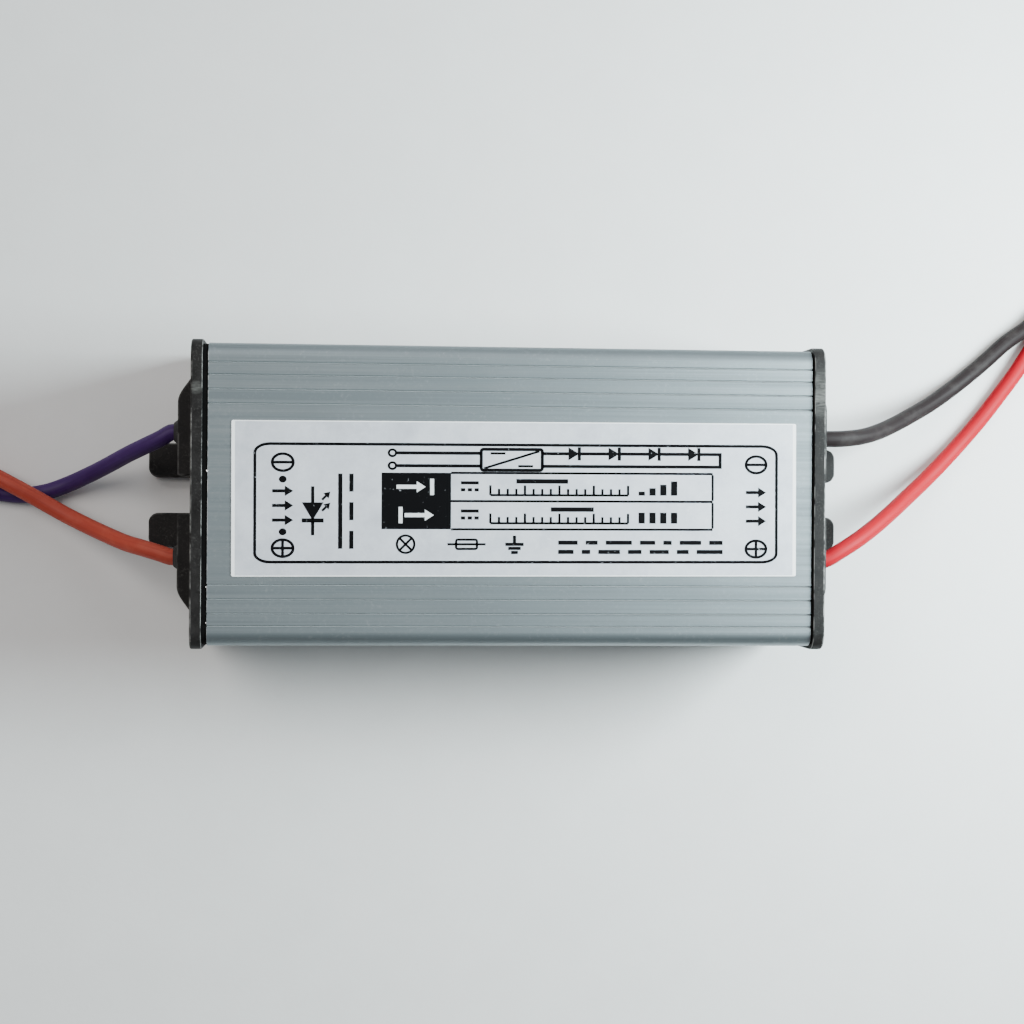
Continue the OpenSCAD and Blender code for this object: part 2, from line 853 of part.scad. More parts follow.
// Flat moulded diode with a folded terminal at each end
module protection_diode() {
  body = [7, 6, 2.4];
  terminal = [0.4, 3, 1.2];
  color("#2b2b2e")
    translate(xy(diode_at, board_top)) {
      translate([-body[0] / 2, -body[1] / 2, 0]) cube(body);
      for (s = [0, 1])
        mirror([s, 0, 0])
          translate([body[0] / 2 - eps, -terminal[1] / 2, 0]) cube(terminal);
    }
}

// Small flat chip with four bent legs on each side
module eight_leg_chip(at) {
  leg_w = 0.42;
  leg_t = 0.2;
  leg_pitch = 1.27;
  foot_out = 1.05;
  translate(xy(at, board_top)) {
    translate([-chip_size[0] / 2, -chip_size[1] / 2, leg_t / 2]) cube(chip_size);
    for (s = [0, 1], i = [-1.5 : 1.5])
      mirror([0, s, 0])
        translate([i * leg_pitch - leg_w / 2, chip_size[1] / 2 - eps, 0])
          rotate([90, 0, 90])
            linear_extrude(leg_w)
              polygon([
                [0, 0.7], [0.35, 0.7], [0.35, 0], [foot_out, 0], [foot_out, leg_t],
                [0.35 + leg_t, leg_t], [0.35 + leg_t, 0.7 + leg_t], [0, 0.7 + leg_t]
              ]);
  }
}

module controller_chip() {
  color("#1d1d20") eight_leg_chip(controller_at);
}

module sense_amplifier_chip() {
  color("#1d1d20") eight_leg_chip(amplifier_at);
}

module chip_block(at, size) {
  translate([at[0] - size[0] / 2, at[1] - size[1] / 2, board_top]) cube(size);
}

module sense_resistors() {
  color("#1f1f22")
    for (s = [-1, 1])
      chip_block(sense_at + [0, s * sense_pitch / 2], sense_size);
}

module chip_components() {
  columns = [
    controller_at - [chip_part_out, 0],
    amplifier_at - [chip_part_out, 0],
    amplifier_at + [chip_part_out, 0]
  ];
  color("#b49a74")
    for (at = columns, i = [-1 : 1])
      chip_block(at + [0, i * chip_part_pitch], chip_part_size);
}

housing();
input_end_cap();
output_end_cap();
input_gasket();
output_gasket();
end_cap_screws();
rating_label();
input_negative_grommet();
input_positive_grommet();
output_negative_grommet();
output_positive_grommet();
input_negative_lead();
input_positive_lead();
output_negative_lead();
output_positive_lead();
input_lead_coil();
output_lead_coil();
input_coil_tie();
output_coil_tie();
circuit_board();
insulating_sheet();
lead_solder_joints();
input_capacitor_a();
input_capacitor_b();
output_capacitor_a();
output_capacitor_b();
inductor_core();
inductor_winding();
choke_core();
choke_winding();
power_mosfet();
rectifier_diode();
heat_spreader();
thermal_pad();
transistor_screws();
input_fuse();
protection_diode();
controller_chip();
sense_amplifier_chip();
sense_resistors();
chip_components();
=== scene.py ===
"""Dresses a sealed LED driver: a streaked aluminium case, two moulded caps, four leads and their coils.

Lengths are in metres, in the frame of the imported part: X runs along the case, Y across it and Z up.
"""

import logging
import math
from dataclasses import dataclass
from enum import Enum
from typing import Any, Sequence

import bmesh
import bpy
from mathutils import Matrix, Vector


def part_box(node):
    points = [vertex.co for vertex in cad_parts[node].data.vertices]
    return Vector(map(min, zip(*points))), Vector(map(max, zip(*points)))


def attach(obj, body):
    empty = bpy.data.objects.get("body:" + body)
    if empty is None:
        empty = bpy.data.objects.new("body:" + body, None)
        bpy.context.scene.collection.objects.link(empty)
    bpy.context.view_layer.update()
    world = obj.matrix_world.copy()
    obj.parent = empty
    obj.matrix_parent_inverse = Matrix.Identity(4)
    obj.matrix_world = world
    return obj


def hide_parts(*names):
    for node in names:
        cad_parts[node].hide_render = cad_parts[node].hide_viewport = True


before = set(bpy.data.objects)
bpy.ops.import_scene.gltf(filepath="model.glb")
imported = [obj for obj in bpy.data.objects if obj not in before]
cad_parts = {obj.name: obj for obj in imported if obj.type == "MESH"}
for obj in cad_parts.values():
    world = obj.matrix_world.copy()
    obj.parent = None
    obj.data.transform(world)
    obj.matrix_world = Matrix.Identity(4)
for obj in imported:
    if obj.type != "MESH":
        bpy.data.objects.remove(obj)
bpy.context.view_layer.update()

LOG = logging.getLogger("led_driver")
BODY = "root"
MERGE_DISTANCE = 1e-6
FLAT_ANGLE = math.radians(0.5)
SMOOTH_ANGLE = math.radians(32)
SHARP_ANGLE = math.radians(28)
CURVE_STEPS = 12
EDGE_WEAR = "edge_wear"
RUN = "run"
RUN_MARKS = 45
TURN_MARKS = 3.2

LABEL_LENGTH = 0.098
LABEL_WIDTH = 0.0267
LABEL_TURN = math.radians(0.25)
CAP_SHIFT = 0.0003

Colour = tuple[float, float, float]
Point = tuple[float, float, float]
Plan = tuple[float, float]


class End(Enum):
    """The two ends of the case, by the way they face along X."""

    INPUT = -1
    OUTPUT = 1


class Pole(Enum):
    """The two leads of an end, by the side of the middle that they leave on."""

    NEGATIVE = 1
    POSITIVE = -1


class Effect(Enum):
    """Surface effects that several finishes share, each one a shader node group."""

    DRAWN_STREAKS = "drawn_streaks"
    MOULDED_GRAIN = "moulded_grain"
    WORN_EDGES = "worn_edges"
    SETTLED_DUST = "settled_dust"


class LightKind(Enum):
    """Kinds of studio light, by Blender's names."""

    SQUARE = "AREA"
    DISTANT = "SUN"


# Shader helpers

MIX_MASK, MIX_LOW, MIX_HIGH, MIX_RESULT = 0, 6, 7, 2


class NodeSketch:
    """Adds nodes to one tree and wires them as they are added."""

    def __init__(self, tree: bpy.types.NodeTree) -> None:
        """Starts on an empty tree."""
        self.tree = tree

    def add(self, kind: str, inputs: dict[Any, Any] | None = None, **settings: Any) -> bpy.types.Node:
        """Adds a node.

        Args:
            kind: Blender's name of the node type.
            inputs: Socket names or numbers, with a value or the socket that feeds each.
            **settings: Properties of the node itself.

        Returns:
            The new node.
        """
        node = self.tree.nodes.new(kind)
        for name, value in settings.items():
            setattr(node, name, value)
        self.fill(node, inputs or {})
        return node

    def fill(self, node: bpy.types.Node, inputs: dict[Any, Any]) -> None:
        """Links a node's inputs, or sets their values; colours are opaque.

        Args:
            node: The node.
            inputs: Socket names or numbers, with a value or the socket that feeds each.
        """
        for name, value in inputs.items():
            socket = node.inputs[name]
            if isinstance(value, bpy.types.NodeSocket):
                self.tree.links.new(value, socket)
            else:
                socket.default_value = (*value, 1.0) if socket.type == "RGBA" else value

    def noise(self, where: Any, scale: Any, detail: float = 4.0, roughness: float = 0.55) -> Any:
        """Adds a noise texture.

        Args:
            where: Socket with the coordinates.
            scale: Features per metre.
            detail: Octaves.
            roughness: Weight of the finer octaves.

        Returns:
            The noise value's socket.
        """
        inputs = {"Vector": where, "Scale": scale, "Detail": detail, "Roughness": roughness}
        return self.add("ShaderNodeTexNoise", inputs).outputs["Fac"]

    def span(self, value: Any, to_low: Any, to_high: Any, low: float = 0.0, high: float = 1.0) -> Any:
        """Maps a value from one range to another, clamped.

        Args:
            value: Socket with the value.
            to_low: Result at the low end.
            to_high: Result at the high end.
            low: Low end of the value.
            high: High end of the value.

        Returns:
            The result's socket.
        """
        inputs = {"Value": value, "From Min": low, "From Max": high, "To Min": to_low, "To Max": to_high}
        return self.add("ShaderNodeMapRange", inputs, clamp=True).outputs["Result"]

    def mask(self, value: Any, low: float, high: float) -> Any:
        """Gives a mask that opens as a value goes from one level to another."""
        return self.span(value, 0.0, 1.0, low, high)

    def maths(self, operation: str, first: Any, second: Any = 0.0, third: Any = 0.0) -> Any:
        """Adds a calculation.

        Args:
            operation: Blender's name of the operation.
            first: First value or socket.
            second: Second value or socket.
            third: Third value or socket, where the operation has one.

        Returns:
            The result's socket.
        """
        inputs = {0: first, 1: second, 2: third}
        return self.add("ShaderNodeMath", inputs, operation=operation).outputs[0]

    def product(self, first: Any, *others: Any) -> Any:
        """Multiplies values.

        Args:
            first: First value or socket.
            *others: The other values or sockets.

        Returns:
            The result's socket.
        """
        for other in others:
            first = self.maths("MULTIPLY", first, other)
        return first

    def stretch(self, where: Any, by: Any) -> Any:
        """Scales coordinates by an amount for each axis."""
        return self.add("ShaderNodeVectorMath", {0: where, 1: by}, operation="MULTIPLY").outputs[0]

    def blend(self, mask: Any, low: Any, high: Any) -> Any:
        """Mixes two colours.

        Args:
            mask: 0 for the first colour, 1 for the second.
            low: First colour or its socket.
            high: Second colour or its socket.

        Returns:
            The mixed colour's socket.
        """
        inputs = {MIX_MASK: mask, MIX_LOW: low, MIX_HIGH: high}
        return self.add("ShaderNodeMix", inputs, data_type="RGBA").outputs[MIX_RESULT]

    def bump(self, height: Any, strength: float, depth: float) -> Any:
        """Adds a bump from a height.

        Args:
            height: Socket with the height.
            strength: How much of it shows.
            depth: Its depth in metres.

        Returns:
            The normal's socket.
        """
        inputs = {"Height": height, "Strength": strength, "Distance": depth}
        return self.add("ShaderNodeBump", inputs).outputs["Normal"]

    def effect(self, effect: Effect, **inputs: Any) -> Any:
        """Places a shared effect.

        Args:
            effect: Which effect.
            **inputs: The group's inputs by name.

        Returns:
            The group's outputs by name.
        """
        return self.add("ShaderNodeGroup", inputs, node_tree=EFFECTS.tree(effect)).outputs


class EffectShelf:
    """Builds each shared shader effect the first time that a finish asks for it."""

    def tree(self, effect: Effect) -> bpy.types.NodeTree:
        """Finds or builds an effect's node group.

        Args:
            effect: Which effect.

        Returns:
            The node group.
        """
        found = bpy.data.node_groups.get(effect.value)
        if found:
            return found
        takes, gives, build = {
            Effect.DRAWN_STREAKS: (("Lines", "Run"), ("Mask", "Height"), self._drawn_streaks),
            Effect.MOULDED_GRAIN: (("Scale",), ("Height", "Mottle"), self._moulded_grain),
            Effect.WORN_EDGES: (("Amount", "Scale"), ("Mask",), self._worn_edges),
            Effect.SETTLED_DUST: (("Amount", "Scale"), ("Mask",), self._settled_dust),
        }[effect]
        tree = bpy.data.node_groups.new(effect.value, "ShaderNodeTree")
        tree.interface.new_socket("Vector", in_out="INPUT", socket_type="NodeSocketVector")
        for way, names in (("INPUT", takes), ("OUTPUT", gives)):
            for name in names:
                tree.interface.new_socket(name, in_out=way, socket_type="NodeSocketFloat")
        sketch = NodeSketch(tree)
        made = build(sketch, sketch.add("NodeGroupInput").outputs)
        sketch.add("NodeGroupOutput", dict(zip(gives, made)))
        return tree

    @staticmethod
    def _drawn_streaks(sketch: NodeSketch, given: Any) -> tuple[Any, ...]:
        """Draws long fine lines along X, as a die leaves on an extrusion.

        Args:
            sketch: The group's nodes.
            given: The group's inputs by name.

        Returns:
            Sockets with the lines' mask and height.
        """
        pitch = sketch.add("ShaderNodeCombineXYZ", {0: given["Run"], 1: given["Lines"], 2: given["Lines"]})
        drawn = sketch.stretch(given["Vector"], pitch.outputs[0])
        coarse = sketch.noise(drawn, 1.0, detail=2.0)
        fine = sketch.noise(drawn, 4.3, detail=3.0)
        height = sketch.maths("MULTIPLY_ADD", fine, 0.6, sketch.product(coarse, 0.4))
        return sketch.mask(height, 0.36, 0.64), height

    @staticmethod
    def _moulded_grain(sketch: NodeSketch, given: Any) -> tuple[Any, ...]:
        """Grains a moulded, cast or pressed surface, with slow mottling.

        Args:
            sketch: The group's nodes.
            given: The group's inputs by name.

        Returns:
            Sockets with the grain's height and the mottling.
        """
        grain = sketch.noise(given["Vector"], given["Scale"], detail=2.0)
        slow = sketch.product(given["Scale"], 0.09)
        patches = sketch.noise(given["Vector"], slow, detail=6.0, roughness=0.65)
        return grain, sketch.mask(patches, 0.32, 0.68)

    @staticmethod
    def _worn_edges(sketch: NodeSketch, given: Any) -> tuple[Any, ...]:
        """Rubs the softened edges of a piece in broken runs.

        Args:
            sketch: The group's nodes.
            given: The group's inputs by name.

        Returns:
            Socket with the rubbing's mask.
        """
        edge = sketch.add("ShaderNodeAttribute", attribute_name=EDGE_WEAR).outputs["Fac"]
        broken = sketch.mask(sketch.noise(given["Vector"], given["Scale"], detail=5.0), 0.42, 0.62)
        return (sketch.product(edge, broken, given["Amount"]),)

    @staticmethod
    def _settled_dust(sketch: NodeSketch, given: Any) -> tuple[Any, ...]:
        """Gathers specks and scuffs on the faces that look up.

        Args:
            sketch: The group's nodes.
            given: The group's inputs by name.

        Returns:
            Socket with the dust's mask.
        """
        normal = sketch.add("ShaderNodeNewGeometry").outputs["Normal"]
        up = sketch.span(sketch.add("ShaderNodeSeparateXYZ", {0: normal}).outputs["Z"], 0.15, 1.0, 0.2, 0.9)
        specks = sketch.noise(given["Vector"], given["Scale"], detail=6.0, roughness=0.7)
        patches = sketch.noise(given["Vector"], sketch.product(given["Scale"], 0.12), detail=3.0)
        fine = sketch.mask(specks, 0.52, 0.72)
        wide = sketch.span(patches, 0.15, 1.0, 0.42, 0.66)
        return (sketch.product(fine, wide, up, given["Amount"]),)


EFFECTS = EffectShelf()


# Finishes


@dataclass(frozen=True)
class Finish:
    """A surface finish, built as one material the first time that it is used.

    Attributes:
        name: Name of the material.
    """

    name: str

    def material(self) -> bpy.types.Material:
        """Finds or builds the material.

        Returns:
            The material.
        """
        name = f"{self.name}_finish"
        found = bpy.data.materials.get(name)
        if found:
            return found
        material = bpy.data.materials.new(name)
        material.use_nodes = True
        material.node_tree.nodes.clear()
        sketch = NodeSketch(material.node_tree)
        shader = sketch.add("ShaderNodeBsdfPrincipled")
        sketch.add("ShaderNodeOutputMaterial", {"Surface": shader.outputs["BSDF"]})
        self.dress(sketch, shader, sketch.add("ShaderNodeTexCoord").outputs["Object"])
        return material

    def dress(self, sketch: NodeSketch, shader: bpy.types.Node, where: bpy.types.NodeSocket) -> None:
        """Fills the shader's sockets; each finish does this its own way.

        Args:
            sketch: The material's nodes.
            shader: Its shader.
            where: Socket with the piece's own coordinates.
        """
        raise NotImplementedError


@dataclass(frozen=True)
class MottledFinish(Finish):
    """A moulded, cast, plated or rubbery surface with slow mottling and fine grain.

    Attributes:
        dark: Darker colour.
        light: Lighter colour.
        gloss: Roughness of the smoother and of the duller spots.
        metallic: 1 for bare metal.
        grain: Grains per metre.
        relief: Depth of the grain.
        wear: How much rubbed edges show.
        worn: Colour of the rubbed edges.
        dust: How much settled dust shows.
        dusty: Colour of the dust.
        sheen: Specular level of the surface.
        wear_scale: Breaks per metre in the rubbed edges.
        dust_scale: Specks per metre in the dust.
        dull: Roughness of the dust.
    """

    dark: Colour = (0.02, 0.02, 0.02)
    light: Colour = (0.04, 0.04, 0.04)
    gloss: tuple[float, float] = (0.4, 0.6)
    metallic: float = 0.0
    grain: float = 4000.0
    relief: float = 0.00004
    wear: float = 0.0
    worn: Colour = (0.25, 0.25, 0.25)
    dust: float = 0.0
    dusty: Colour = (0.35, 0.34, 0.33)
    sheen: float = 0.5
    wear_scale: float = 420.0
    dust_scale: float = 2600.0
    dull: float = 0.85

    def dress(self, sketch: NodeSketch, shader: bpy.types.Node, where: bpy.types.NodeSocket) -> None:
        """Mottles the colour and gloss, and adds grain, wear and dust.

        Args:
            sketch: The material's nodes.
            shader: Its shader.
            where: Socket with the piece's own coordinates.
        """
        grain = sketch.effect(Effect.MOULDED_GRAIN, Vector=where, Scale=self.grain)
        colour = self.marks(sketch, where, sketch.blend(grain["Mottle"], self.dark, self.light))
        rough = sketch.span(grain["Mottle"], *self.gloss)
        if self.wear:
            rubbed = sketch.effect(Effect.WORN_EDGES, Vector=where, Amount=self.wear, Scale=self.wear_scale)
            colour = sketch.blend(rubbed["Mask"], colour, self.worn)
        if self.dust:
            dust = sketch.effect(Effect.SETTLED_DUST, Vector=where, Amount=self.dust, Scale=self.dust_scale)
            colour = sketch.blend(dust["Mask"], colour, self.dusty)
            rough = sketch.span(dust["Mask"], rough, self.dull)
        sketch.fill(shader, {
            "Base Color": colour, "Roughness": rough, "Metallic": self.metallic,
            "Specular IOR Level": self.sheen, "Normal": sketch.bump(grain["Height"], 0.5, self.relief),
        })

    def marks(self, sketch: NodeSketch, where: bpy.types.NodeSocket, colour: Any) -> Any:
        """Adds marks of the finish's own to its colour; a plain finish has none.

        Args:
            sketch: The material's nodes.
            where: Socket with the piece's own coordinates.
            colour: Socket with the colour so far.

        Returns:
            Socket with the colour and its marks.
        """
        return colour


@dataclass(frozen=True)
class CapPlastic(MottledFinish):
    """Black moulded plastic, scuffed where something has rubbed over the caps' top edges.

    Attributes:
        scuffs: Middle and reach of each scuffed spot.
        scuffed: Colour of the scuffs.
        scuff_lines: Rubbed lines per metre, across X and along it.
        scuff_cover: How much a scuff covers at its middle.
        scuff_core: Share of its reach that it covers as much.
    """

    scuffs: tuple[tuple[Point, float], ...] = ()
    scuffed: Colour = (0.125, 0.125, 0.118)
    scuff_lines: Plan = (700.0, 160.0)
    scuff_cover: float = 0.85
    scuff_core: float = 0.35

    def marks(self, sketch: NodeSketch, where: bpy.types.NodeSocket, colour: Any) -> Any:
        """Rubs lines along X over the scuffed spots.

        Args:
            sketch: The material's nodes.
            where: Socket with the piece's own coordinates.
            colour: Socket with the colour so far.

        Returns:
            Socket with the colour and its scuffs.
        """
        lines, run = self.scuff_lines
        streak = sketch.effect(Effect.DRAWN_STREAKS, Vector=where, Lines=lines, Run=run)["Mask"]
        for middle, reach in self.scuffs:
            far = sketch.add("ShaderNodeVectorMath", {0: where, 1: middle}, operation="DISTANCE")
            near = sketch.span(far.outputs["Value"], self.scuff_cover, 0.0, self.scuff_core * reach, reach)
            colour = sketch.blend(sketch.product(near, streak), colour, self.scuffed)
        return colour


@dataclass(frozen=True)
class StreakedAluminium(Finish):
    """Satin aluminium as it comes from the extrusion die, with painted shade in its grooves.

    Attributes:
        dark: Colour of the duller lines.
        light: Colour of the brighter lines.
        groove_shade: Painted groove shade, a flat diffuse colour that sets how dark the grooves look.
        rubbed: Colour of the rubbed edges.
        dusty: Colour of the dust.
        gloss: Roughness of the brighter and of the duller lines.
        dull: Roughness where the groove shade is painted.
        lines: Drawn lines per metre, across X and along it.
        groove_shade_patches: Patches of the painted groove shade per metre, along X, Y and Z.
        groove_reach: How far from the middle the outermost groove lies.
        groove_depth: Depth of a groove below the top.
    """

    dark: Colour = (0.175, 0.204, 0.218)
    light: Colour = (0.27, 0.312, 0.33)
    groove_shade: Colour = (0.40, 0.43, 0.44)
    rubbed: Colour = (0.86, 0.88, 0.89)
    dusty: Colour = (0.8, 0.82, 0.83)
    gloss: tuple[float, float] = (0.46, 0.6)
    dull: float = 0.75
    lines: Plan = (330.0, 3.0)
    groove_shade_patches: Point = (6.0, 170.0, 0.0)
    groove_reach: float = 0.0233
    groove_depth: float = 0.0004

    def dress(self, sketch: NodeSketch, shader: bpy.types.Node, where: bpy.types.NodeSocket) -> None:
        """Draws the lines along X, dulls patches and paints shade in the grooves.

        Args:
            sketch: The material's nodes.
            shader: Its shader.
            where: Socket with the piece's own coordinates.
        """
        top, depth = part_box("housing")[1].z, self.groove_depth
        lines, run = self.lines
        streak = sketch.effect(Effect.DRAWN_STREAKS, Vector=where, Lines=lines, Run=run)
        cloud = sketch.mask(sketch.noise(where, 60.0, detail=5.0), 0.35, 0.7)
        colour = sketch.blend(streak["Mask"], self.dark, self.light)
        colour = sketch.blend(sketch.product(cloud, 0.3), colour, self.dark)
        place = sketch.add("ShaderNodeSeparateXYZ", {0: where}).outputs
        # Painted shade: a flat diffuse colour, in patches, fills the grooves below the top and sets how dark
        # they look.
        sunk = sketch.span(place["Z"], 1.0, 0.0, top - 0.7 * depth, top - 0.1 * depth)
        roof = sketch.mask(place["Z"], top - 1.6 * depth, top - 1.4 * depth)
        near = sketch.maths("LESS_THAN", sketch.maths("ABSOLUTE", place["Y"]), self.groove_reach)
        groove_shade_patches = sketch.noise(sketch.stretch(where, self.groove_shade_patches), 1.0, detail=2.0)
        groove_shade_mask = sketch.product(sunk, roof, near, sketch.span(groove_shade_patches, 1.0, 0.8, 0.34, 0.66))
        rubbed = sketch.effect(Effect.WORN_EDGES, Vector=where, Amount=0.5, Scale=900.0)["Mask"]
        dust = sketch.effect(Effect.SETTLED_DUST, Vector=where, Amount=0.14, Scale=1500.0)["Mask"]
        for mask, over in ((rubbed, self.rubbed), (dust, self.dusty), (groove_shade_mask, self.groove_shade)):
            colour = sketch.blend(mask, colour, over)
        rough = sketch.span(streak["Mask"], self.gloss[1], self.gloss[0])
        sketch.fill(shader, {
            "Base Color": colour, "Roughness": sketch.span(groove_shade_mask, rough, self.dull),
            "Metallic": sketch.span(groove_shade_mask, 1.0, 0.0), "Normal": sketch.bump(streak["Height"], 0.35, 0.00005),
        })


@dataclass(frozen=True)
class LabelFilm(Finish):
    """Silver label film with the white of its stock along its edges.

    Attributes:
        dark: Darker silver.
        light: Lighter silver.
        stock: White of the stock.
        metallic: How metallic the silver is.
        gloss: Roughness of the darker and of the lighter silver.
        end_strip: Width of the white strip along each short end.
        side_strip: Width of the white strip along each long side.
    """

    dark: Colour = (0.52, 0.545, 0.605)
    light: Colour = (0.73, 0.76, 0.82)
    stock: Colour = (0.985, 0.99, 0.995)
    metallic: float = 0.28
    gloss: tuple[float, float] = (0.52, 0.4)
    end_strip: float = 0.00058
    side_strip: float = 0.00016

    def dress(self, sketch: NodeSketch, shader: bpy.types.Node, where: bpy.types.NodeSocket) -> None:
        """Clouds and cockles the silver and whitens its edges.

        Args:
            sketch: The material's nodes.
            shader: Its shader.
            where: Socket with the piece's own coordinates.
        """
        low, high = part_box("rating_label")
        middle = (low + high) / 2
        grain = sketch.effect(Effect.MOULDED_GRAIN, Vector=where, Scale=1600.0)
        dust = sketch.effect(Effect.SETTLED_DUST, Vector=where, Amount=0.3, Scale=1300.0)["Mask"]
        colour = sketch.blend(grain["Mottle"], self.dark, self.light)
        colour = sketch.blend(dust, colour, self.stock)
        own = sketch.add(
            "ShaderNodeVectorRotate",
            {"Vector": where, "Center": middle, "Axis": (0.0, 0.0, 1.0), "Angle": -LABEL_TURN},
        ).outputs[0]
        place = sketch.add("ShaderNodeSeparateXYZ", {0: own}).outputs
        strips = []
        for axis, centre, edge in (
            ("X", middle.x, LABEL_LENGTH / 2 - self.end_strip),
            ("Y", middle.y, LABEL_WIDTH / 2 - self.side_strip),
        ):
            out = sketch.maths("ABSOLUTE", sketch.maths("SUBTRACT", place[axis], centre))
            strips.append(sketch.maths("GREATER_THAN", out, edge))
        white = sketch.maths("MAXIMUM", *strips)
        cockle = sketch.noise(where, 70.0, detail=2.0)
        height = sketch.maths("ADD", cockle, sketch.product(grain["Height"], 0.01))
        sketch.fill(shader, {
            "Base Color": sketch.blend(white, colour, self.stock),
            "Metallic": sketch.span(white, self.metallic, 0.0),
            "Roughness": sketch.span(grain["Mottle"], *self.gloss),
            "Normal": sketch.bump(height, 0.4, 0.0004),
        })


@dataclass(frozen=True)
class PrintInk(Finish):
    """Screen ink with pinholes.

    Attributes:
        ink: Colour of the ink.
        hole: Colour that shows through a pinhole.
        sheen: Specular level of the ink.
    """

    ink: Colour = (0.0028, 0.0028, 0.0034)
    hole: Colour = (0.30, 0.31, 0.33)
    sheen: float = 0.05

    def dress(self, sketch: NodeSketch, shader: bpy.types.Node, where: bpy.types.NodeSocket) -> None:
        """Opens pinholes in the ink and varies its gloss.

        Args:
            sketch: The material's nodes.
            shader: Its shader.
            where: Socket with the piece's own coordinates.
        """
        specks = sketch.noise(where, 1500.0, detail=3.0, roughness=0.6)
        holes = sketch.span(specks, 0.0, 0.8, 0.67, 0.73)
        sketch.fill(shader, {
            "Base Color": sketch.blend(holes, self.ink, self.hole),
            "Roughness": sketch.span(specks, 0.5, 0.7, 0.3, 0.7),
            "Specular IOR Level": self.sheen,
        })


@dataclass(frozen=True)
class LeadInsulation(Finish):
    """Satin vinyl insulation with faint lines along the lead and rubbed patches.

    Attributes:
        deep: Deeper colour.
        bright: Brighter colour.
        rubbed: Colour of the rubbed patches.
        scuff: How much the rubbed patches show.
        sheen: Specular level of the surface.
    """

    deep: Colour = (0.3, 0.02, 0.02)
    bright: Colour = (0.5, 0.05, 0.04)
    rubbed: Colour = (0.5, 0.3, 0.3)
    scuff: float = 0.12
    sheen: float = 0.28

    def dress(self, sketch: NodeSketch, shader: bpy.types.Node, where: bpy.types.NodeSocket) -> None:
        """Draws faint lines along the lead's own run, and rubs patches of it.

        Args:
            sketch: The material's nodes.
            shader: Its shader.
            where: Socket with the piece's own coordinates.
        """
        run = sketch.add("ShaderNodeAttribute", attribute_name=RUN).outputs["Vector"]
        lines = sketch.noise(run, 1.0, detail=3.0)
        patch = sketch.noise(where, 260.0, detail=5.0, roughness=0.6)
        rub = sketch.span(patch, 0.0, self.scuff, 0.5, 0.68)
        colour = sketch.blend(sketch.mask(lines, 0.3, 0.7), self.deep, self.bright)
        sketch.fill(shader, {
            "Base Color": sketch.blend(rub, colour, self.rubbed),
            "Roughness": sketch.span(patch, 0.5, 0.62, 0.3, 0.7),
            "Specular IOR Level": self.sheen,
            "Normal": sketch.bump(lines, 0.25, 0.00003),
        })


@dataclass(frozen=True)
class BoardLaminate(Finish):
    """Green lacquered laminate with tracks and bare pads.

    Attributes:
        lacquer: Colour over bare laminate.
        track: Colour over copper.
        pad: Colour of tinned pads.
    """

    lacquer: Colour = (0.012, 0.07, 0.03)
    track: Colour = (0.03, 0.16, 0.06)
    pad: Colour = (0.6, 0.6, 0.57)

    def dress(self, sketch: NodeSketch, shader: bpy.types.Node, where: bpy.types.NodeSocket) -> None:
        """Lays tracks as square-edged bands and pads at their crossings.

        Args:
            sketch: The material's nodes.
            shader: Its shader.
            where: Socket with the piece's own coordinates.
        """
        tracks = sketch.add(
            "ShaderNodeTexBrick",
            {"Vector": where, "Color1": self.track, "Color2": self.track, "Mortar": self.lacquer,
             "Scale": 130.0, "Mortar Size": 0.035, "Brick Width": 1.3, "Row Height": 0.45},
        )
        cells = sketch.add("ShaderNodeTexVoronoi", {"Vector": where, "Scale": 170.0, "Randomness": 0.35})
        pads = sketch.maths("LESS_THAN", cells.outputs["Distance"], 0.13)
        weave = sketch.noise(where, 2200.0, detail=2.0)
        sketch.fill(shader, {
            "Base Color": sketch.blend(pads, tracks.outputs["Color"], self.pad),
            "Roughness": sketch.span(weave, 0.25, 0.42, 0.3, 0.7),
            "Metallic": pads,
            "Normal": sketch.bump(tracks.outputs["Fac"], 0.3, 0.00004),
        })


ALUMINIUM = StreakedAluminium("case_aluminium")
CAP_PLASTIC = CapPlastic(
    "cap_plastic", dark=(0.006, 0.0056, 0.0056), light=(0.0165, 0.015, 0.0147), gloss=(0.45, 0.65),
    grain=5200.0, relief=0.00005, wear=0.9, worn=(0.2, 0.197, 0.19), dust=0.6,
    dusty=(0.10, 0.096, 0.092), sheen=0.16,
    scuffs=(((-0.0544, 0.0181, 0.0346), 0.0013), ((0.0538, 0.0183, 0.0346), 0.0048)),
)
# Black rubber, darkened past its own tone as painted shade in the gap between the case and each cap.
GASKET_RUBBER_GAP_SHADE = MottledFinish(
    "gasket_rubber", dark=(0.002, 0.002, 0.002), light=(0.005, 0.005, 0.005), gloss=(0.75, 0.9),
    grain=7000.0, sheen=0.08,
)
GROMMET_RUBBER = MottledFinish(
    "grommet_rubber", dark=(0.012, 0.012, 0.012), light=(0.028, 0.027, 0.027), gloss=(0.6, 0.8),
    grain=6000.0, dust=0.3, sheen=0.3,
)
SCREW_STEEL = MottledFinish(
    "screw_steel", dark=(0.36, 0.36, 0.37), light=(0.62, 0.62, 0.61), gloss=(0.24, 0.42),
    metallic=1.0, grain=3500.0, relief=0.00001,
)
LABEL_FILM = LabelFilm("label_film")
BLACK_INK = PrintInk("black_ink")
WHITE_INK = PrintInk("white_ink", ink=(0.74, 0.75, 0.76), hole=(0.2, 0.2, 0.2))
BLUE_LEAD = LeadInsulation(
    "blue_insulation", deep=(0.031, 0.0073, 0.071), bright=(0.047, 0.0125, 0.108),
    rubbed=(0.11, 0.06, 0.2),
)
ORANGE_LEAD = LeadInsulation(
    "orange_insulation", deep=(0.33, 0.037, 0.022), bright=(0.43, 0.06, 0.033),
    rubbed=(0.68, 0.22, 0.14),
)
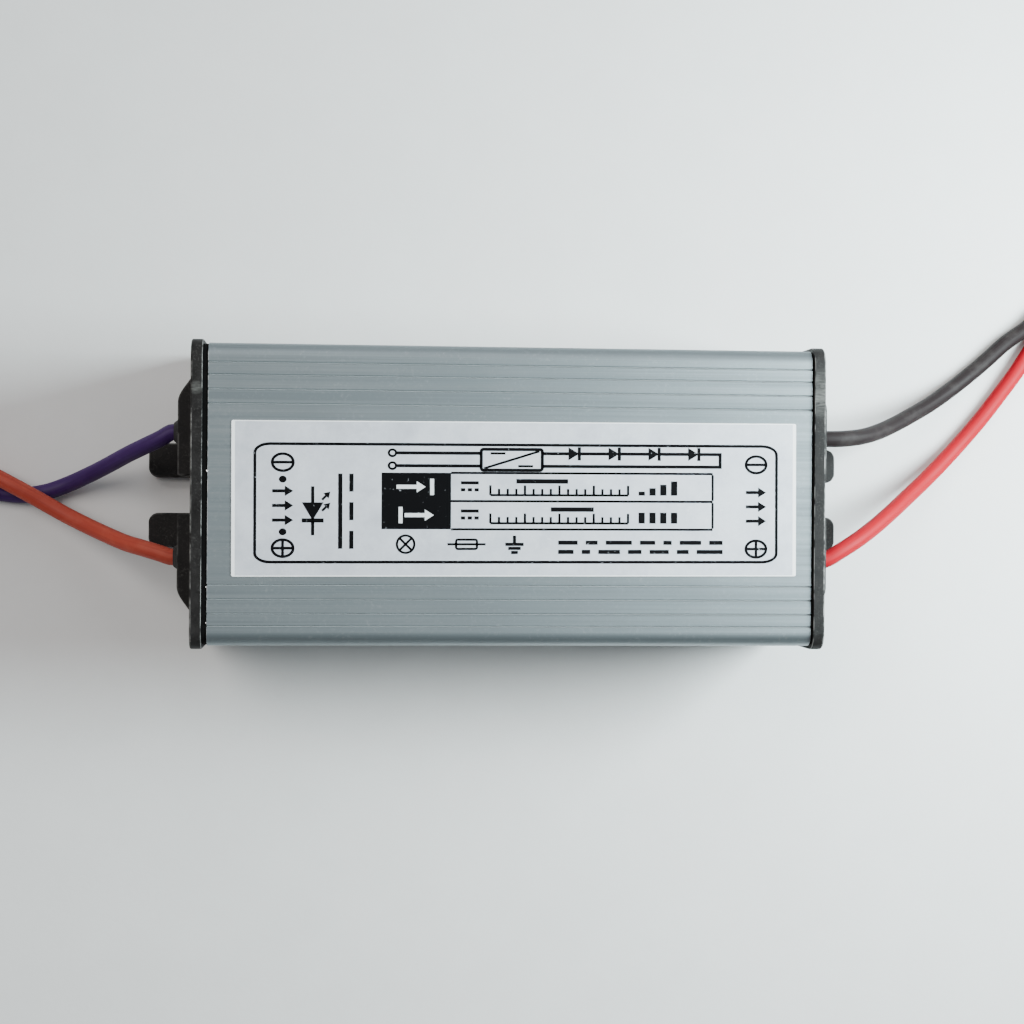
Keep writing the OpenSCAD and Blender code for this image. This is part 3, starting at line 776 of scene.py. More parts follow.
# Near-black insulation, with a slight warm tint that is a painted red reflection.
BLACK_LEAD_WITH_RED_REFLECTION = LeadInsulation(
    "black_insulation", deep=(0.011, 0.0074, 0.0078), bright=(0.021, 0.016, 0.0165),
    rubbed=(0.05, 0.045, 0.043), scuff=0.4, sheen=0.13,
)
RED_LEAD = LeadInsulation(
    "red_insulation", deep=(0.30, 0.001, 0.008), bright=(0.39, 0.001, 0.012),
    rubbed=(0.46, 0.012, 0.018), sheen=0.18,
)
TINNED_WIRE = MottledFinish(
    "tinned_wire", dark=(0.5, 0.49, 0.47), light=(0.74, 0.73, 0.71), gloss=(0.25, 0.4),
    metallic=1.0,
)
TIE_PLASTIC = MottledFinish(
    "tie_plastic", dark=(0.012, 0.012, 0.013), light=(0.024, 0.024, 0.025), gloss=(0.35, 0.5),
    grain=3000.0, dust=0.2,
)
INSIDE_FINISHES: dict[Finish, tuple[str, ...]] = {
    BoardLaminate("board_laminate"): ("circuit_board",),
    MottledFinish(
        "insulating_film", dark=(0.50, 0.46, 0.36), light=(0.62, 0.58, 0.47), gloss=(0.3, 0.45),
    ): ("insulating_sheet",),
    MottledFinish(
        "solder_metal", dark=(0.52, 0.52, 0.5), light=(0.75, 0.75, 0.73), gloss=(0.18, 0.35),
        metallic=1.0,
    ): ("lead_solder_joints",),
    MottledFinish(
        "capacitor_sleeve", dark=(0.012, 0.014, 0.03), light=(0.022, 0.026, 0.05),
        gloss=(0.3, 0.42), grain=1800.0, relief=0.00001,
    ): ("input_capacitor_a", "input_capacitor_b", "output_capacitor_a", "output_capacitor_b"),
    MottledFinish(
        "core_coating", dark=(0.42, 0.33, 0.05), light=(0.55, 0.45, 0.09), gloss=(0.4, 0.6),
    ): ("inductor_core",),
    MottledFinish(
        "ferrite", dark=(0.03, 0.03, 0.032), light=(0.065, 0.064, 0.066), gloss=(0.55, 0.75),
        grain=6000.0,
    ): ("choke_core",),
    MottledFinish(
        "copper_wire", dark=(0.50, 0.17, 0.06), light=(0.68, 0.27, 0.11), gloss=(0.2, 0.32),
        metallic=1.0, grain=1500.0, relief=0.00001,
    ): ("inductor_winding", "choke_winding"),
    MottledFinish(
        "moulding_compound", dark=(0.016, 0.016, 0.017), light=(0.03, 0.03, 0.031),
        gloss=(0.5, 0.68), grain=9000.0,
    ): ("power_mosfet", "rectifier_diode", "protection_diode", "controller_chip", "sense_amplifier_chip"),
    MottledFinish(
        "spreader_aluminium", dark=(0.55, 0.56, 0.57), light=(0.72, 0.73, 0.74), gloss=(0.3, 0.45),
        metallic=1.0,
    ): ("heat_spreader",),
    MottledFinish(
        "thermal_silicone", dark=(0.32, 0.36, 0.4), light=(0.42, 0.46, 0.5), gloss=(0.65, 0.8),
        grain=5000.0,
    ): ("thermal_pad",),
    MottledFinish(
        "fuse_body", dark=(0.06, 0.03, 0.018), light=(0.1, 0.05, 0.03), gloss=(0.35, 0.5),
    ): ("input_fuse",),
    MottledFinish(
        "chip_ceramic", dark=(0.40, 0.32, 0.22), light=(0.52, 0.43, 0.31), gloss=(0.4, 0.55),
        grain=9000.0,
    ): ("sense_resistors", "chip_components"),
    SCREW_STEEL: ("transistor_screws",),
    GASKET_RUBBER_GAP_SHADE: ("input_gasket", "output_gasket"),
}


# Mesh helpers


def finished_mesh(name: str, shape: bmesh.types.BMesh, smooth: float = SMOOTH_ANGLE) -> bpy.types.Mesh:
    """Closes a shape as a mesh, smooth up to an angle, and frees the shape.

    Args:
        name: Name of the mesh.
        shape: The shape.
        smooth: Angle past which an edge stays sharp.

    Returns:
        The mesh.
    """
    mesh = bpy.data.meshes.new(name)
    shape.to_mesh(mesh)
    shape.free()
    stale = mesh.attributes.get("custom_normal")
    if stale:
        mesh.attributes.remove(stale)
    mesh.shade_smooth()
    mesh.set_sharp_from_angle(angle=smooth)
    return mesh


def new_piece(
    name: str, mesh: bpy.types.Mesh, finish: Finish, replaced: Sequence[str] = ()
) -> bpy.types.Object:
    """Links a mesh as a piece that rides on the part's one body.

    Args:
        name: Name of the piece.
        mesh: Its mesh, with its place in it.
        finish: Its finish.
        replaced: CAD nodes that it stands for.

    Returns:
        The piece's object.
    """
    piece = bpy.data.objects.new(name, mesh)
    bpy.context.scene.collection.objects.link(piece)
    mesh.materials.clear()
    mesh.materials.append(finish.material())
    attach(piece, BODY)
    if replaced:
        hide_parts(*replaced)
    LOG.info("%s: %d faces", name, len(mesh.polygons))
    return piece


def shade_evenly(piece: bpy.types.Object) -> None:
    """Weights a piece's normals by its faces, so that its flats look flat beside softened edges."""
    piece.modifiers.new("even_shading", "WEIGHTED_NORMAL").keep_sharp = True


def lies_at(edge: bmesh.types.BMEdge, x: float) -> bool:
    """Tells whether both ends of an edge lie at an X."""
    return all(abs(vertex.co.x - x) < MERGE_DISTANCE for vertex in edge.verts)


def softened(
    node: str, width: float, segments: int = 2, ends_only: bool = False, seam: Plan | None = None
) -> bmesh.types.BMesh:
    """Copies a CAD node's mesh, joins its loose triangles and rounds its sharp edges.

    Args:
        node: Name of the CAD node.
        width: Width of the rounding.
        segments: Faces across the rounding.
        ends_only: Round only the edges of the two cut ends.
        seam: X of an outline that is rounded by a width of its own, and that width.

    Returns:
        The shape, with its rounded faces marked as edges that wear.
    """
    shape = bmesh.new()
    shape.from_mesh(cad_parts[node].data)
    bmesh.ops.remove_doubles(shape, verts=shape.verts, dist=MERGE_DISTANCE)
    bmesh.ops.dissolve_limit(shape, angle_limit=FLAT_ANGLE, verts=shape.verts, edges=shape.edges)
    wear = shape.faces.layers.float.new(EDGE_WEAR)
    edges = [edge for edge in shape.edges if edge.is_manifold and edge.calc_face_angle() > SHARP_ANGLE]
    if ends_only:
        low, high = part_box(node)
        edges = [edge for edge in edges if lies_at(edge, low.x) or lies_at(edge, high.x)]
    at_seam = [edge for edge in edges if seam and lies_at(edge, seam[0])]
    batches = [([edge for edge in edges if edge not in at_seam], width)]
    if at_seam:
        batches.append((at_seam, seam[1]))
    for batch, reach in batches:
        rounded = bmesh.ops.bevel(
            shape, geom=batch, offset=reach, offset_type="OFFSET", segments=segments, profile=0.5,
            affect="EDGES", clamp_overlap=False,
        )
        for face in rounded["faces"]:
            face[wear] = 1.0
    return shape


def smooth_line(points: Sequence[Vector], step: float) -> list[Vector]:
    """Runs one smooth curve through points, in even steps.

    Args:
        points: The points to pass through.
        step: Length of a step.

    Returns:
        Points along the curve.
    """
    padded = [2 * points[0] - points[1], *points, 2 * points[-1] - points[-2]]
    dense: list[Vector] = []
    for before, start, stop, after in zip(padded, padded[1:], padded[2:], padded[3:]):
        first = math.sqrt((start - before).length)
        second = first + math.sqrt((stop - start).length)
        third = second + math.sqrt((after - stop).length)
        for i in range(CURVE_STEPS):
            at = first + (second - first) * i / CURVE_STEPS
            share = (at - first) / (second - first)
            a = before.lerp(start, at / first)
            b = start.lerp(stop, share)
            c = stop.lerp(after, (at - second) / (third - second))
            early = a.lerp(b, at / second)
            late = b.lerp(c, (at - first) / (third - first))
            dense.append(early.lerp(late, share))
    return even_line([*dense, points[-1]], step)


def even_line(points: Sequence[Vector], step: float) -> list[Vector]:
    """Spaces a line's points evenly.

    Args:
        points: The line.
        step: About how far apart its points should be.

    Returns:
        The same line with even steps.
    """
    runs = [0.0]
    for start, stop in zip(points, points[1:]):
        runs.append(runs[-1] + (stop - start).length)
    count = math.ceil(runs[-1] / step)
    line: list[Vector] = []
    span = 0
    for i in range(count + 1):
        at = runs[-1] * i / count
        while span < len(points) - 2 and runs[span + 1] < at:
            span += 1
        line.append(points[span].lerp(points[span + 1], (at - runs[span]) / (runs[span + 1] - runs[span])))
    return line


def add_tube(shape: bmesh.types.BMesh, line: Sequence[Vector], radius: float, sides: int) -> None:
    """Adds a closed tube along a line, with its own run and turn kept on its points.

    Args:
        shape: The shape to add to.
        line: The tube's middle.
        radius: The tube's radius.
        sides: Points round the tube.
    """
    layer = shape.verts.layers.float_vector.get(RUN) or shape.verts.layers.float_vector.new(RUN)
    rings: list[list[bmesh.types.BMVert]] = []
    ahead = (line[1] - line[0]).normalized()
    out = ahead.orthogonal().normalized()
    run = 0.0
    for i, point in enumerate(line):
        ahead = (line[min(i + 1, len(line) - 1)] - line[max(i - 1, 0)]).normalized()
        out = (out - ahead * out.dot(ahead)).normalized()
        up = ahead.cross(out)
        run += (point - line[max(i - 1, 0)]).length
        ring = []
        for k in range(sides):
            turn = math.tau * k / sides
            vertex = shape.verts.new(point + (out * math.cos(turn) + up * math.sin(turn)) * radius)
            marks = (run * RUN_MARKS, TURN_MARKS * math.cos(turn), TURN_MARKS * math.sin(turn))
            vertex[layer] = Vector(marks)
            ring.append(vertex)
        rings.append(ring)
    for back, front in zip(rings, rings[1:]):
        for k in range(sides):
            shape.faces.new((back[k], back[k - 1], front[k - 1], front[k]))
    shape.faces.new(rings[0])
    shape.faces.new(reversed(rings[-1]))


def join_rings(shape: bmesh.types.BMesh, rings: Sequence[Sequence[bmesh.types.BMVert]]) -> None:
    """Closes the wall between each ring of points and the next.

    Args:
        shape: The shape to add to.
        rings: Rings of as many points each.
    """
    for back, front in zip(rings, rings[1:]):
        for k in range(len(back)):
            shape.faces.new((back[k - 1], back[k], front[k], front[k - 1]))


def add_prism(shape: bmesh.types.BMesh, outline: Sequence[Vector], low: float, high: float) -> None:
    """Adds an upright prism over a plan outline.

    Args:
        shape: The shape to add to.
        outline: Plan points, anticlockwise.
        low: Z of its bottom.
        high: Z of its top.
    """
    bottom = [shape.verts.new((p.x, p.y, low)) for p in outline]
    top = [shape.verts.new((p.x, p.y, high)) for p in outline]
    shape.faces.new(list(reversed(bottom)))
    shape.faces.new(top)
    join_rings(shape, (bottom, top))


def add_band(
    shape: bmesh.types.BMesh, outer: Sequence[Vector], inner: Sequence[Vector], low: float, high: float
) -> None:
    """Adds an upright closed band between two plan outlines of as many points.

    Args:
        shape: The shape to add to.
        outer: Outer plan points, anticlockwise.
        inner: Inner plan points, anticlockwise.
        low: Z of its bottom.
        high: Z of its top.
    """
    loops = [
        [shape.verts.new((p.x, p.y, z)) for p in plan]
        for plan, z in ((outer, low), (outer, high), (inner, high), (inner, low))
    ]
    join_rings(shape, [*loops, loops[0]])


def rounded_plan(middle: Vector, half: Vector, corner: Vector, steps: int = 8) -> list[Vector]:
    """Gives the plan outline of a rectangle with round corners, or of an oval.

    Args:
        middle: Its middle.
        half: Half its width and half its height.
        corner: Reach of a corner along and across.
        steps: Points along each corner.

    Returns:
        Plan points, anticlockwise.
    """
    points: list[Vector] = []
    for k, (x, y) in enumerate(((1, 1), (-1, 1), (-1, -1), (1, -1))):
        centre = middle + Vector((x, y)) * (half - corner)
        for i in range(steps + 1):
            turn = math.pi / 2 * (k + i / steps)
            points.append(centre + Vector((math.cos(turn), math.sin(turn))) * corner)
    return [p for k, p in enumerate(points) if (p - points[k - 1]).length > MERGE_DISTANCE / 10]


class LayoutTree:
    """A Geometry Nodes tree with named sizes that repeats its host's own mesh."""

    def __init__(self, name: str, sizes: dict[str, str]) -> None:
        """Starts the tree.

        Args:
            name: Name of the tree.
            sizes: Its inputs' names and socket types.
        """
        self.tree = bpy.data.node_groups.new(name, "GeometryNodeTree")
        face = self.tree.interface
        face.new_socket("Geometry", in_out="INPUT", socket_type="NodeSocketGeometry")
        kinds = {**sizes, "Finish": "NodeSocketMaterial"}
        self.keys = {
            label: face.new_socket(label, in_out="INPUT", socket_type=kind).identifier
            for label, kind in kinds.items()
        }
        face.new_socket("Geometry", in_out="OUTPUT", socket_type="NodeSocketGeometry")
        self.sketch = NodeSketch(self.tree)
        self.given = self.sketch.add("NodeGroupInput").outputs

    def close(self, laid: Sequence[bpy.types.NodeSocket]) -> None:
        """Joins what is laid out, makes it real and sets its material.

        Args:
            laid: Sockets with instances.
        """
        joined = self.sketch.add("GeometryNodeJoinGeometry")
        for socket in laid:
            self.sketch.fill(joined, {"Geometry": socket})
        real = self.sketch.add("GeometryNodeRealizeInstances", {"Geometry": joined.outputs[0]})
        dressed = self.sketch.add(
            "GeometryNodeSetMaterial", {"Geometry": real.outputs[0], "Material": self.given["Finish"]}
        )
        self.sketch.add("NodeGroupOutput", {"Geometry": dressed.outputs[0]})

    def run(self, mesh: bpy.types.Mesh, finish: Finish, **sizes: Any) -> bpy.types.Mesh:
        """Lays a mesh out.

        Args:
            mesh: The mesh to repeat.
            finish: Finish of the result.
            **sizes: The tree's inputs, with underscores for spaces.

        Returns:
            A plain mesh.
        """
        host = bpy.data.objects.new(f"{self.tree.name}_host", mesh)
        bpy.context.scene.collection.objects.link(host)
        modifier = host.modifiers.new("layout", "NODES")
        modifier.node_group = self.tree
        for label, value in sizes.items():
            modifier[self.keys[label.replace("_", " ")]] = value
        modifier[self.keys["Finish"]] = finish.material()
        bpy.context.view_layer.update()
        made = bpy.data.meshes.new_from_object(host.evaluated_get(bpy.context.evaluated_depsgraph_get()))
        bpy.data.objects.remove(host)
        return made


# Camera, floor and light


@dataclass(frozen=True)
class PhotoCamera:
    """The camera that took the photograph, above the case and a little to its input side.

    Attributes:
        place: Where it stands.
        turns: Its turns about X, Y and Z from looking straight down.
        lens: Focal length in millimetres.
        sensor: Sensor width in millimetres.
        near: Nearest distance that it sees.
    """

    place: Point = (-0.0301, -0.00296, 0.358)
    turns: Point = (0.00075, -0.09164, 0.00714)
    lens: float = 66.17
    sensor: float = 36.0
    near: float = 0.01

    def build(self) -> None:
        """Makes it the scene's camera."""
        data = bpy.data.cameras.new("photo_camera")
        data.lens = self.lens
        data.sensor_width = self.sensor
        data.clip_start = self.near
        camera = bpy.data.objects.new("photo_camera", data)
        bpy.context.scene.collection.objects.link(camera)
        turn = Matrix.Identity(4)
        for angle, axis in zip(self.turns, "XYZ"):
            turn = turn @ Matrix.Rotation(angle, 4, axis)
        camera.matrix_world = Matrix.Translation(self.place) @ turn
        bpy.context.scene.camera = camera


@dataclass(frozen=True)
class StudioLight:
    """One studio light: a soft square one, or a distant one that lights the whole floor alike.

    Attributes:
        kind: Which kind of light.
        name: Its name.
        place: Where it hangs.
        aim: What it points at.
        size: Side of a square light, or the angle that a distant one fills.
        power: Power in watts, or in watts per square metre for a distant light.
        colour: Its colour.
    """

    kind: LightKind
    name: str
    place: Point
    aim: Point
    size: float
    power: float
    colour: Point

    def build(self) -> None:
        """Hangs the light."""
        data = bpy.data.lights.new(self.name, self.kind.value)
        if self.kind is LightKind.SQUARE:
            data.size = self.size
        else:
            data.angle = self.size
        data.energy = self.power
        data.color = self.colour
        light = bpy.data.objects.new(self.name, data)
        light.visible_camera = False
        bpy.context.scene.collection.objects.link(light)
        turn = (Vector(self.aim) - Vector(self.place)).to_track_quat("-Z", "Y")
        light.matrix_world = Matrix.Translation(self.place) @ turn.to_matrix().to_4x4()


@dataclass(frozen=True)
class Studio:
    """A pale floor, soft lights and an even pale surround.

    Attributes:
        floor_half: Half the floor's width.
        floor_drop: How far the floor lies below the case.
        surround: Colour of the surround.
        surround_power: Its strength.
        lights: The lights.
    """

    floor_half: float = 14.0
    floor_drop: float = 0.0001
    surround: Colour = (0.82, 0.85, 0.88)
    surround_power: float = 0.27
    lights: tuple[StudioLight, ...] = (
        StudioLight(
            LightKind.SQUARE, "key_light", place=(0.20, 0.04, 0.16), aim=(0.04, 0.0, 0.03), size=0.12,
            power=2.2, colour=(0.845, 0.98, 1.0),
        ),
        StudioLight(
            LightKind.DISTANT, "top_light", place=(-0.5, 0.40, 0.95), aim=(0.0, 0.0, 0.0),
            size=math.radians(34), power=1.6, colour=(1.0, 0.955, 0.91),
        ),
        StudioLight(
            LightKind.SQUARE, "side_light", place=(0.05, 0.65, 0.40), aim=(0.0, 0.0, 0.02), size=0.5,
            power=1.2, colour=(0.94, 0.97, 1.0),
        ),
    )

    def build(self) -> None:
        """Lays the floor, sets the surround and hangs the lights."""
        shape = bmesh.new()
        bmesh.ops.create_grid(shape, x_segments=8, y_segments=8, size=self.floor_half)
        bmesh.ops.translate(shape, verts=shape.verts, vec=(0.0, 0.0, -self.floor_drop))
        floor = bpy.data.objects.new("studio_floor", finished_mesh("studio_floor", shape))
        bpy.context.scene.collection.objects.link(floor)
        paper = MottledFinish(
            "floor_paper", dark=(0.76, 0.76, 0.755), light=(0.79, 0.79, 0.785), gloss=(0.75, 0.85),
            grain=900.0,
        )
        floor.data.materials.append(paper.material())
        world = bpy.data.worlds.new("studio_surround")
        world.use_nodes = True
        background = world.node_tree.nodes["Background"]
        sketch = NodeSketch(world.node_tree)
        sketch.fill(background, {"Color": self.surround, "Strength": self.surround_power})
        bpy.context.scene.world = world
        for light in self.lights:
            light.build()


# Leads

EXIT_X = 0.0581
LEAD_DIAMETER = 0.003
LEAD_LENGTH = 0.220
LEAD_SIDES = 24
LINE_STEP = 0.0008
OUTER_STRANDS = 6
STRAND_SIDES = 8
STRAND_STEP = 0.0003
HIDDEN_STEPS = 3


def beyond_cap(end: End, out: float) -> float:
    """Gives the X of a point that lies a distance out from a cap's boss."""
    return end.value * (EXIT_X + out) - CAP_SHIFT


@dataclass(frozen=True)
class LeadCoil:
    """The spare ends of one end's two leads, wound together flat on the table.

    Attributes:
        end: End of the case that the leads come from.
        out: Distance of its middle from the lead exits, along X.
        across: Y of its middle.
        turn: Way that the leads run in, about Z.
        radius: Radius between its two lanes.
        lane: Distance of each lane from that radius.
        half: Half the width of its section.
        low: Height of the lower layer's middle.
        rise: Height of the upper layer above the lower.
        climb: Turns between which a lead climbs to the upper layer.
        clear: Spare length of the straight way in.
    """

    end: End
    out: float
    across: float
    turn: float
    radius: float = 0.0155
    lane: float = 0.00155
    half: float = 0.0031
    low: float = 0.0021
    rise: float = 0.00305
    climb: tuple[float, float] = (math.radians(232), math.radians(305))
    clear: float = 0.0005

    @property
    def spur(self) -> float:
        """Length of the straight way in."""
        return 2 * math.sqrt(self.radius * self.half) + self.clear

    def place(self, local: Vector) -> Vector:
        """Turns a point of the coil's own frame into the part's frame."""
        middle = Vector((beyond_cap(self.end, self.out), self.across, 0.0))
        return middle + Matrix.Rotation(self.turn, 3, "Z") @ local

    def port(self, pole: Pole, back: float) -> Vector:
        """Gives a point on a lead's straight way in.

        Args:
            pole: Which lead.
            back: Distance before the turns start.

        Returns:
            The point.
        """
        return self.place(Vector((-back, self.radius + pole.value * self.lane, self.low)))

    def wound(self, pole: Pole, start: float, length: float) -> list[Vector]:
        """Winds a lead, from a point on its straight way in.

        Args:
            pole: Which lead.
            start: Distance of that point before the turns start.
            length: Length to wind.

        Returns:
            Points along the lead, after that point.
        """
        reach = self.radius + pole.value * self.lane
        count = math.ceil(length / LINE_STEP)
        line: list[Vector] = []
        for i in range(1, count + 1):
            run = length * i / count - start
            turn = max(run, 0.0) / reach
            share = min(max((turn - self.climb[0]) / (self.climb[1] - self.climb[0]), 0.0), 1.0)
            height = self.low + self.rise * share * share * (3 - 2 * share)
            line.append(self.place(Vector((
                min(run, 0.0) + reach * math.sin(turn), reach * math.cos(turn), height,
            ))))
        return line


@dataclass(frozen=True)
class Lead:
    """One insulated lead, from its solder pad out to its bare, tinned end in the coil.

    Attributes:
        end: End of the case that it leaves.
        pole: Which of that end's two leads.
        route: Points from its exit to the coil: distance out, Y and Z.
        coil: The coil that it ends in.
        finish: Its insulation.
        slot: Name of a material slot; not used.
        pad: X of its solder pad.
        pad_z: Height where it starts on the pad.
        bend: Radius of its bend inside the case.
        across: Distance of its exit from the middle.
        height: Height of its exit.
        bare: Length of its bare end.
        straight: Length of its straight run out of the boss.
        approach: Distance from the coil's straight way in where it lines up with it.
        strand: Radius of a strand of the bare end.
        lay: Distance of the outer strands from the bare end's middle.
        pitch: Length over which the strands twist once.
    """

    end: End
    pole: Pole
    route: tuple[Point, ...]
    coil: LeadCoil
    finish: Finish
    slot: str
    pad: float = 0.046
    pad_z: float = 0.0107
    bend: float = 0.0055
    across: float = 0.0112
    height: float = 0.0165
    bare: float = 0.006
    straight: float = 0.0016
    approach: float = 0.0025
    strand: float = 0.00023
    lay: float = 0.00045
    pitch: float = 0.007

    @property
    def name(self) -> str:
        """Name of its CAD node."""
        return f"{self.end.name.lower()}_{self.pole.name.lower()}_lead"

    def at(self, out: float, y: float, z: float) -> Vector:
        """Places a point by its distance from the middle of the case, on the lead's own end."""
        return Vector((self.end.value * out, y, z))

    def outside(self, out: float, y: float, z: float) -> Vector:
        """Places a point by its distance from the cap's boss, on the lead's own end."""
        return Vector((beyond_cap(self.end, out), y, z))

    def line(self) -> list[Vector]:
        """Runs the middle of the lead from its pad to the tip of its bare end.

        Returns:
            Evenly spaced points.
        """
        y = self.pole.value * self.across
        points = [self.at(self.pad, y, self.pad_z)]
        for step in range(4):
            angle = math.pi / 6 * step
            out = self.pad + self.bend * (1 - math.cos(angle))
            points.append(self.at(out, y, self.height - self.bend * (1 - math.sin(angle))))
        points += [self.outside(out, y, self.height) for out in (0.0, self.straight)]
        points += [self.outside(*point) for point in self.route]
        spur = self.coil.spur
        points += [self.coil.port(self.pole, back) for back in (spur + self.approach, spur, spur / 2)]
        free = smooth_line(points, LINE_STEP)
        used = sum((stop - start).length for start, stop in zip(free, free[1:]))
        wound = self.coil.wound(self.pole, spur / 2, LEAD_LENGTH + self.bare - used)
        return even_line([*free, *wound], LINE_STEP)

    def build(self) -> None:
        line = self.line()
        split = len(line) - round(self.bare / LINE_STEP)
        shape = bmesh.new()
        add_tube(shape, line[:split], LEAD_DIAMETER / 2, LEAD_SIDES)
        replaced = (self.name, f"{self.end.name.lower()}_lead_coil")
        mesh = finished_mesh(self.name, shape)
        cover = new_piece(f"{self.name}_cover", mesh, self.finish, replaced)
        tip = self._strands(line[split - HIDDEN_STEPS:])

    def _strands(self, line: Sequence[Vector]) -> bpy.types.Object:
        """Twists seven tinned strands along the bare end.

        Args:
            line: Middle of the bare end, from just inside the insulation.

        Returns:
            The piece.
        """
        fine = even_line(list(line), STRAND_STEP)
        shape = bmesh.new()
        add_tube(shape, fine, self.strand, STRAND_SIDES)
        up = Vector((0.0, 0.0, 1.0))
        for k in range(OUTER_STRANDS):
            path: list[Vector] = []
            for i, point in enumerate(fine):
                ahead = (fine[min(i + 1, len(fine) - 1)] - fine[max(i - 1, 0)]).normalized()
                beside = ahead.cross(up).normalized()
                turn = math.tau * k / OUTER_STRANDS + math.tau / self.pitch * STRAND_STEP * i
                path.append(point + (beside * math.cos(turn) + up * math.sin(turn)) * self.lay)
            add_tube(shape, path[: len(path) - k % 3], self.strand, STRAND_SIDES)
        name = f"{self.name}_bare_end"
        return new_piece(name, finished_mesh(name, shape), TINNED_WIRE)


@dataclass(frozen=True)
class CoilTie:
    """A ribbed strap pulled round a coil's section, with its lock on top.

    Attributes:
        coil: The coil that it holds.
        angle: Where it sits round the coil, from the coil's own X.
        width: Width of the strap.
        thick: Thickness of the strap.
        half: Half the space inside it, across the coil.
        floor: Lowest point of the space inside it.
        roof: Highest point of the space inside it.
        corner: Corner radius of the space inside it.
        lock: Size of the lock along the coil, across it and up.
        lock_sunk: How far the lock reaches down into the strap.
        lock_edge: Width of the lock's rounded edges.
        stub: Size of the strap's cut end on the lock, across the coil and up.
        stub_share: Width of that end, as a share of the strap's.
        stub_place: How far it lies out from the coil's radius, and up from the strap.
        stub_edge: Width of its rounded edges.
        rib_step: Length of half a rib along the strap.
        bevel: Width of the strap's bevelled edges.
    """

    coil: LeadCoil
    angle: float = math.radians(70)
    width: float = 0.0026
    thick: float = 0.0005
    half: float = 0.0032
    floor: float = 0.0005
    roof: float = 0.0068
    corner: float = 0.0013
    lock: Point = (0.004, 0.0044, 0.0021)
    lock_sunk: float = 0.0001
    lock_edge: float = 0.0004
    stub: Plan = (0.0011, 0.0012)
    stub_share: float = 0.85
    stub_place: Plan = (0.0004, 0.0014)
    stub_edge: float = 0.00015
    rib_step: float = 0.0002
    bevel: float = 0.00015

    def _place(self, along: float, across: float, up: float) -> Vector:
        """Places a point of the tie.

        Args:
            along: Distance along the coil's run.
            across: Distance out from the coil's radius.
            up: Height.

        Returns:
            The point.
        """
        out = Vector((math.cos(self.angle), math.sin(self.angle), 0.0))
        way = Vector((-out.y, out.x, 0.0))
        return self.coil.place(out * (self.coil.radius + across) + way * along + Vector((0.0, 0.0, up)))

    def _strap(self, shape: bmesh.types.BMesh) -> None:
        """Adds the strap, with ribs all along its loop.

        Args:
            shape: The shape to add to.
        """
        middle = Vector((0.0, (self.floor + self.roof) / 2))
        half = Vector((self.half, (self.roof - self.floor) / 2))
        plan = rounded_plan(middle, half, Vector((self.corner, self.corner)), 4)
        closed = even_line([p.to_3d() for p in [*plan, plan[0]]], self.rib_step)[:-1]
        side = self.width / 2
        inner, shoulder = side - self.bevel * 2, self.thick - self.bevel
        rings = []
        for i, point in enumerate(closed):
            ahead = (closed[(i + 1) % len(closed)] - closed[i - 1]).normalized()
            out = Vector((ahead.y, -ahead.x, 0.0))
            proud = self.thick * (1.0 if i % 4 < 2 else 0.8)
            section = (
                (-side, 0.0), (side, 0.0), (side, shoulder), (inner, proud), (-inner, proud),
                (-side, shoulder),
            )
            rings.append([
                shape.verts.new(self._place(along, (point + out * depth).x, (point + out * depth).y))
                for along, depth in section
            ])
        join_rings(shape, [*rings, rings[0]])

    def _block(self, shape: bmesh.types.BMesh, size: Point, low: float, across: float, soft: float) -> None:
        """Adds a block with soft edges over the strap's top run.

        Args:
            shape: The shape to add to.
            size: Its size along the coil, across it and up.
            low: Height of its bottom.
            across: How far its middle lies out from the coil's radius.
            soft: Width of its rounded edges.
        """
        block = bmesh.new()
        bmesh.ops.create_cube(block, size=1.0)
        bmesh.ops.scale(block, vec=size, verts=block.verts)
        bmesh.ops.bevel(block, geom=block.edges[:], offset=soft, segments=2, profile=0.5, affect="EDGES")
        for vertex in block.verts:
            vertex.co = self._place(vertex.co.x, across + vertex.co.y, low + size[2] / 2 + vertex.co.z)
        scratch = bpy.data.meshes.new("tie_block")
        block.to_mesh(scratch)
        block.free()
        shape.from_mesh(scratch)
        bpy.data.meshes.remove(scratch)

    def build(self) -> None:
        """Makes the tie."""
        shape = bmesh.new()
        self._strap(shape)
        top = self.roof + self.thick
        self._block(shape, self.lock, top - self.lock_sunk, 0.0, self.lock_edge)
        out, up = self.stub_place
        self._block(shape, (self.width * self.stub_share, *self.stub), top + up, out, self.stub_edge)
        bmesh.ops.recalc_face_normals(shape, faces=shape.faces)
        name = f"{self.coil.end.name.lower()}_coil_tie"
        new_piece(f"{name}_strap", finished_mesh(name, shape), TIE_PLASTIC, (name,))


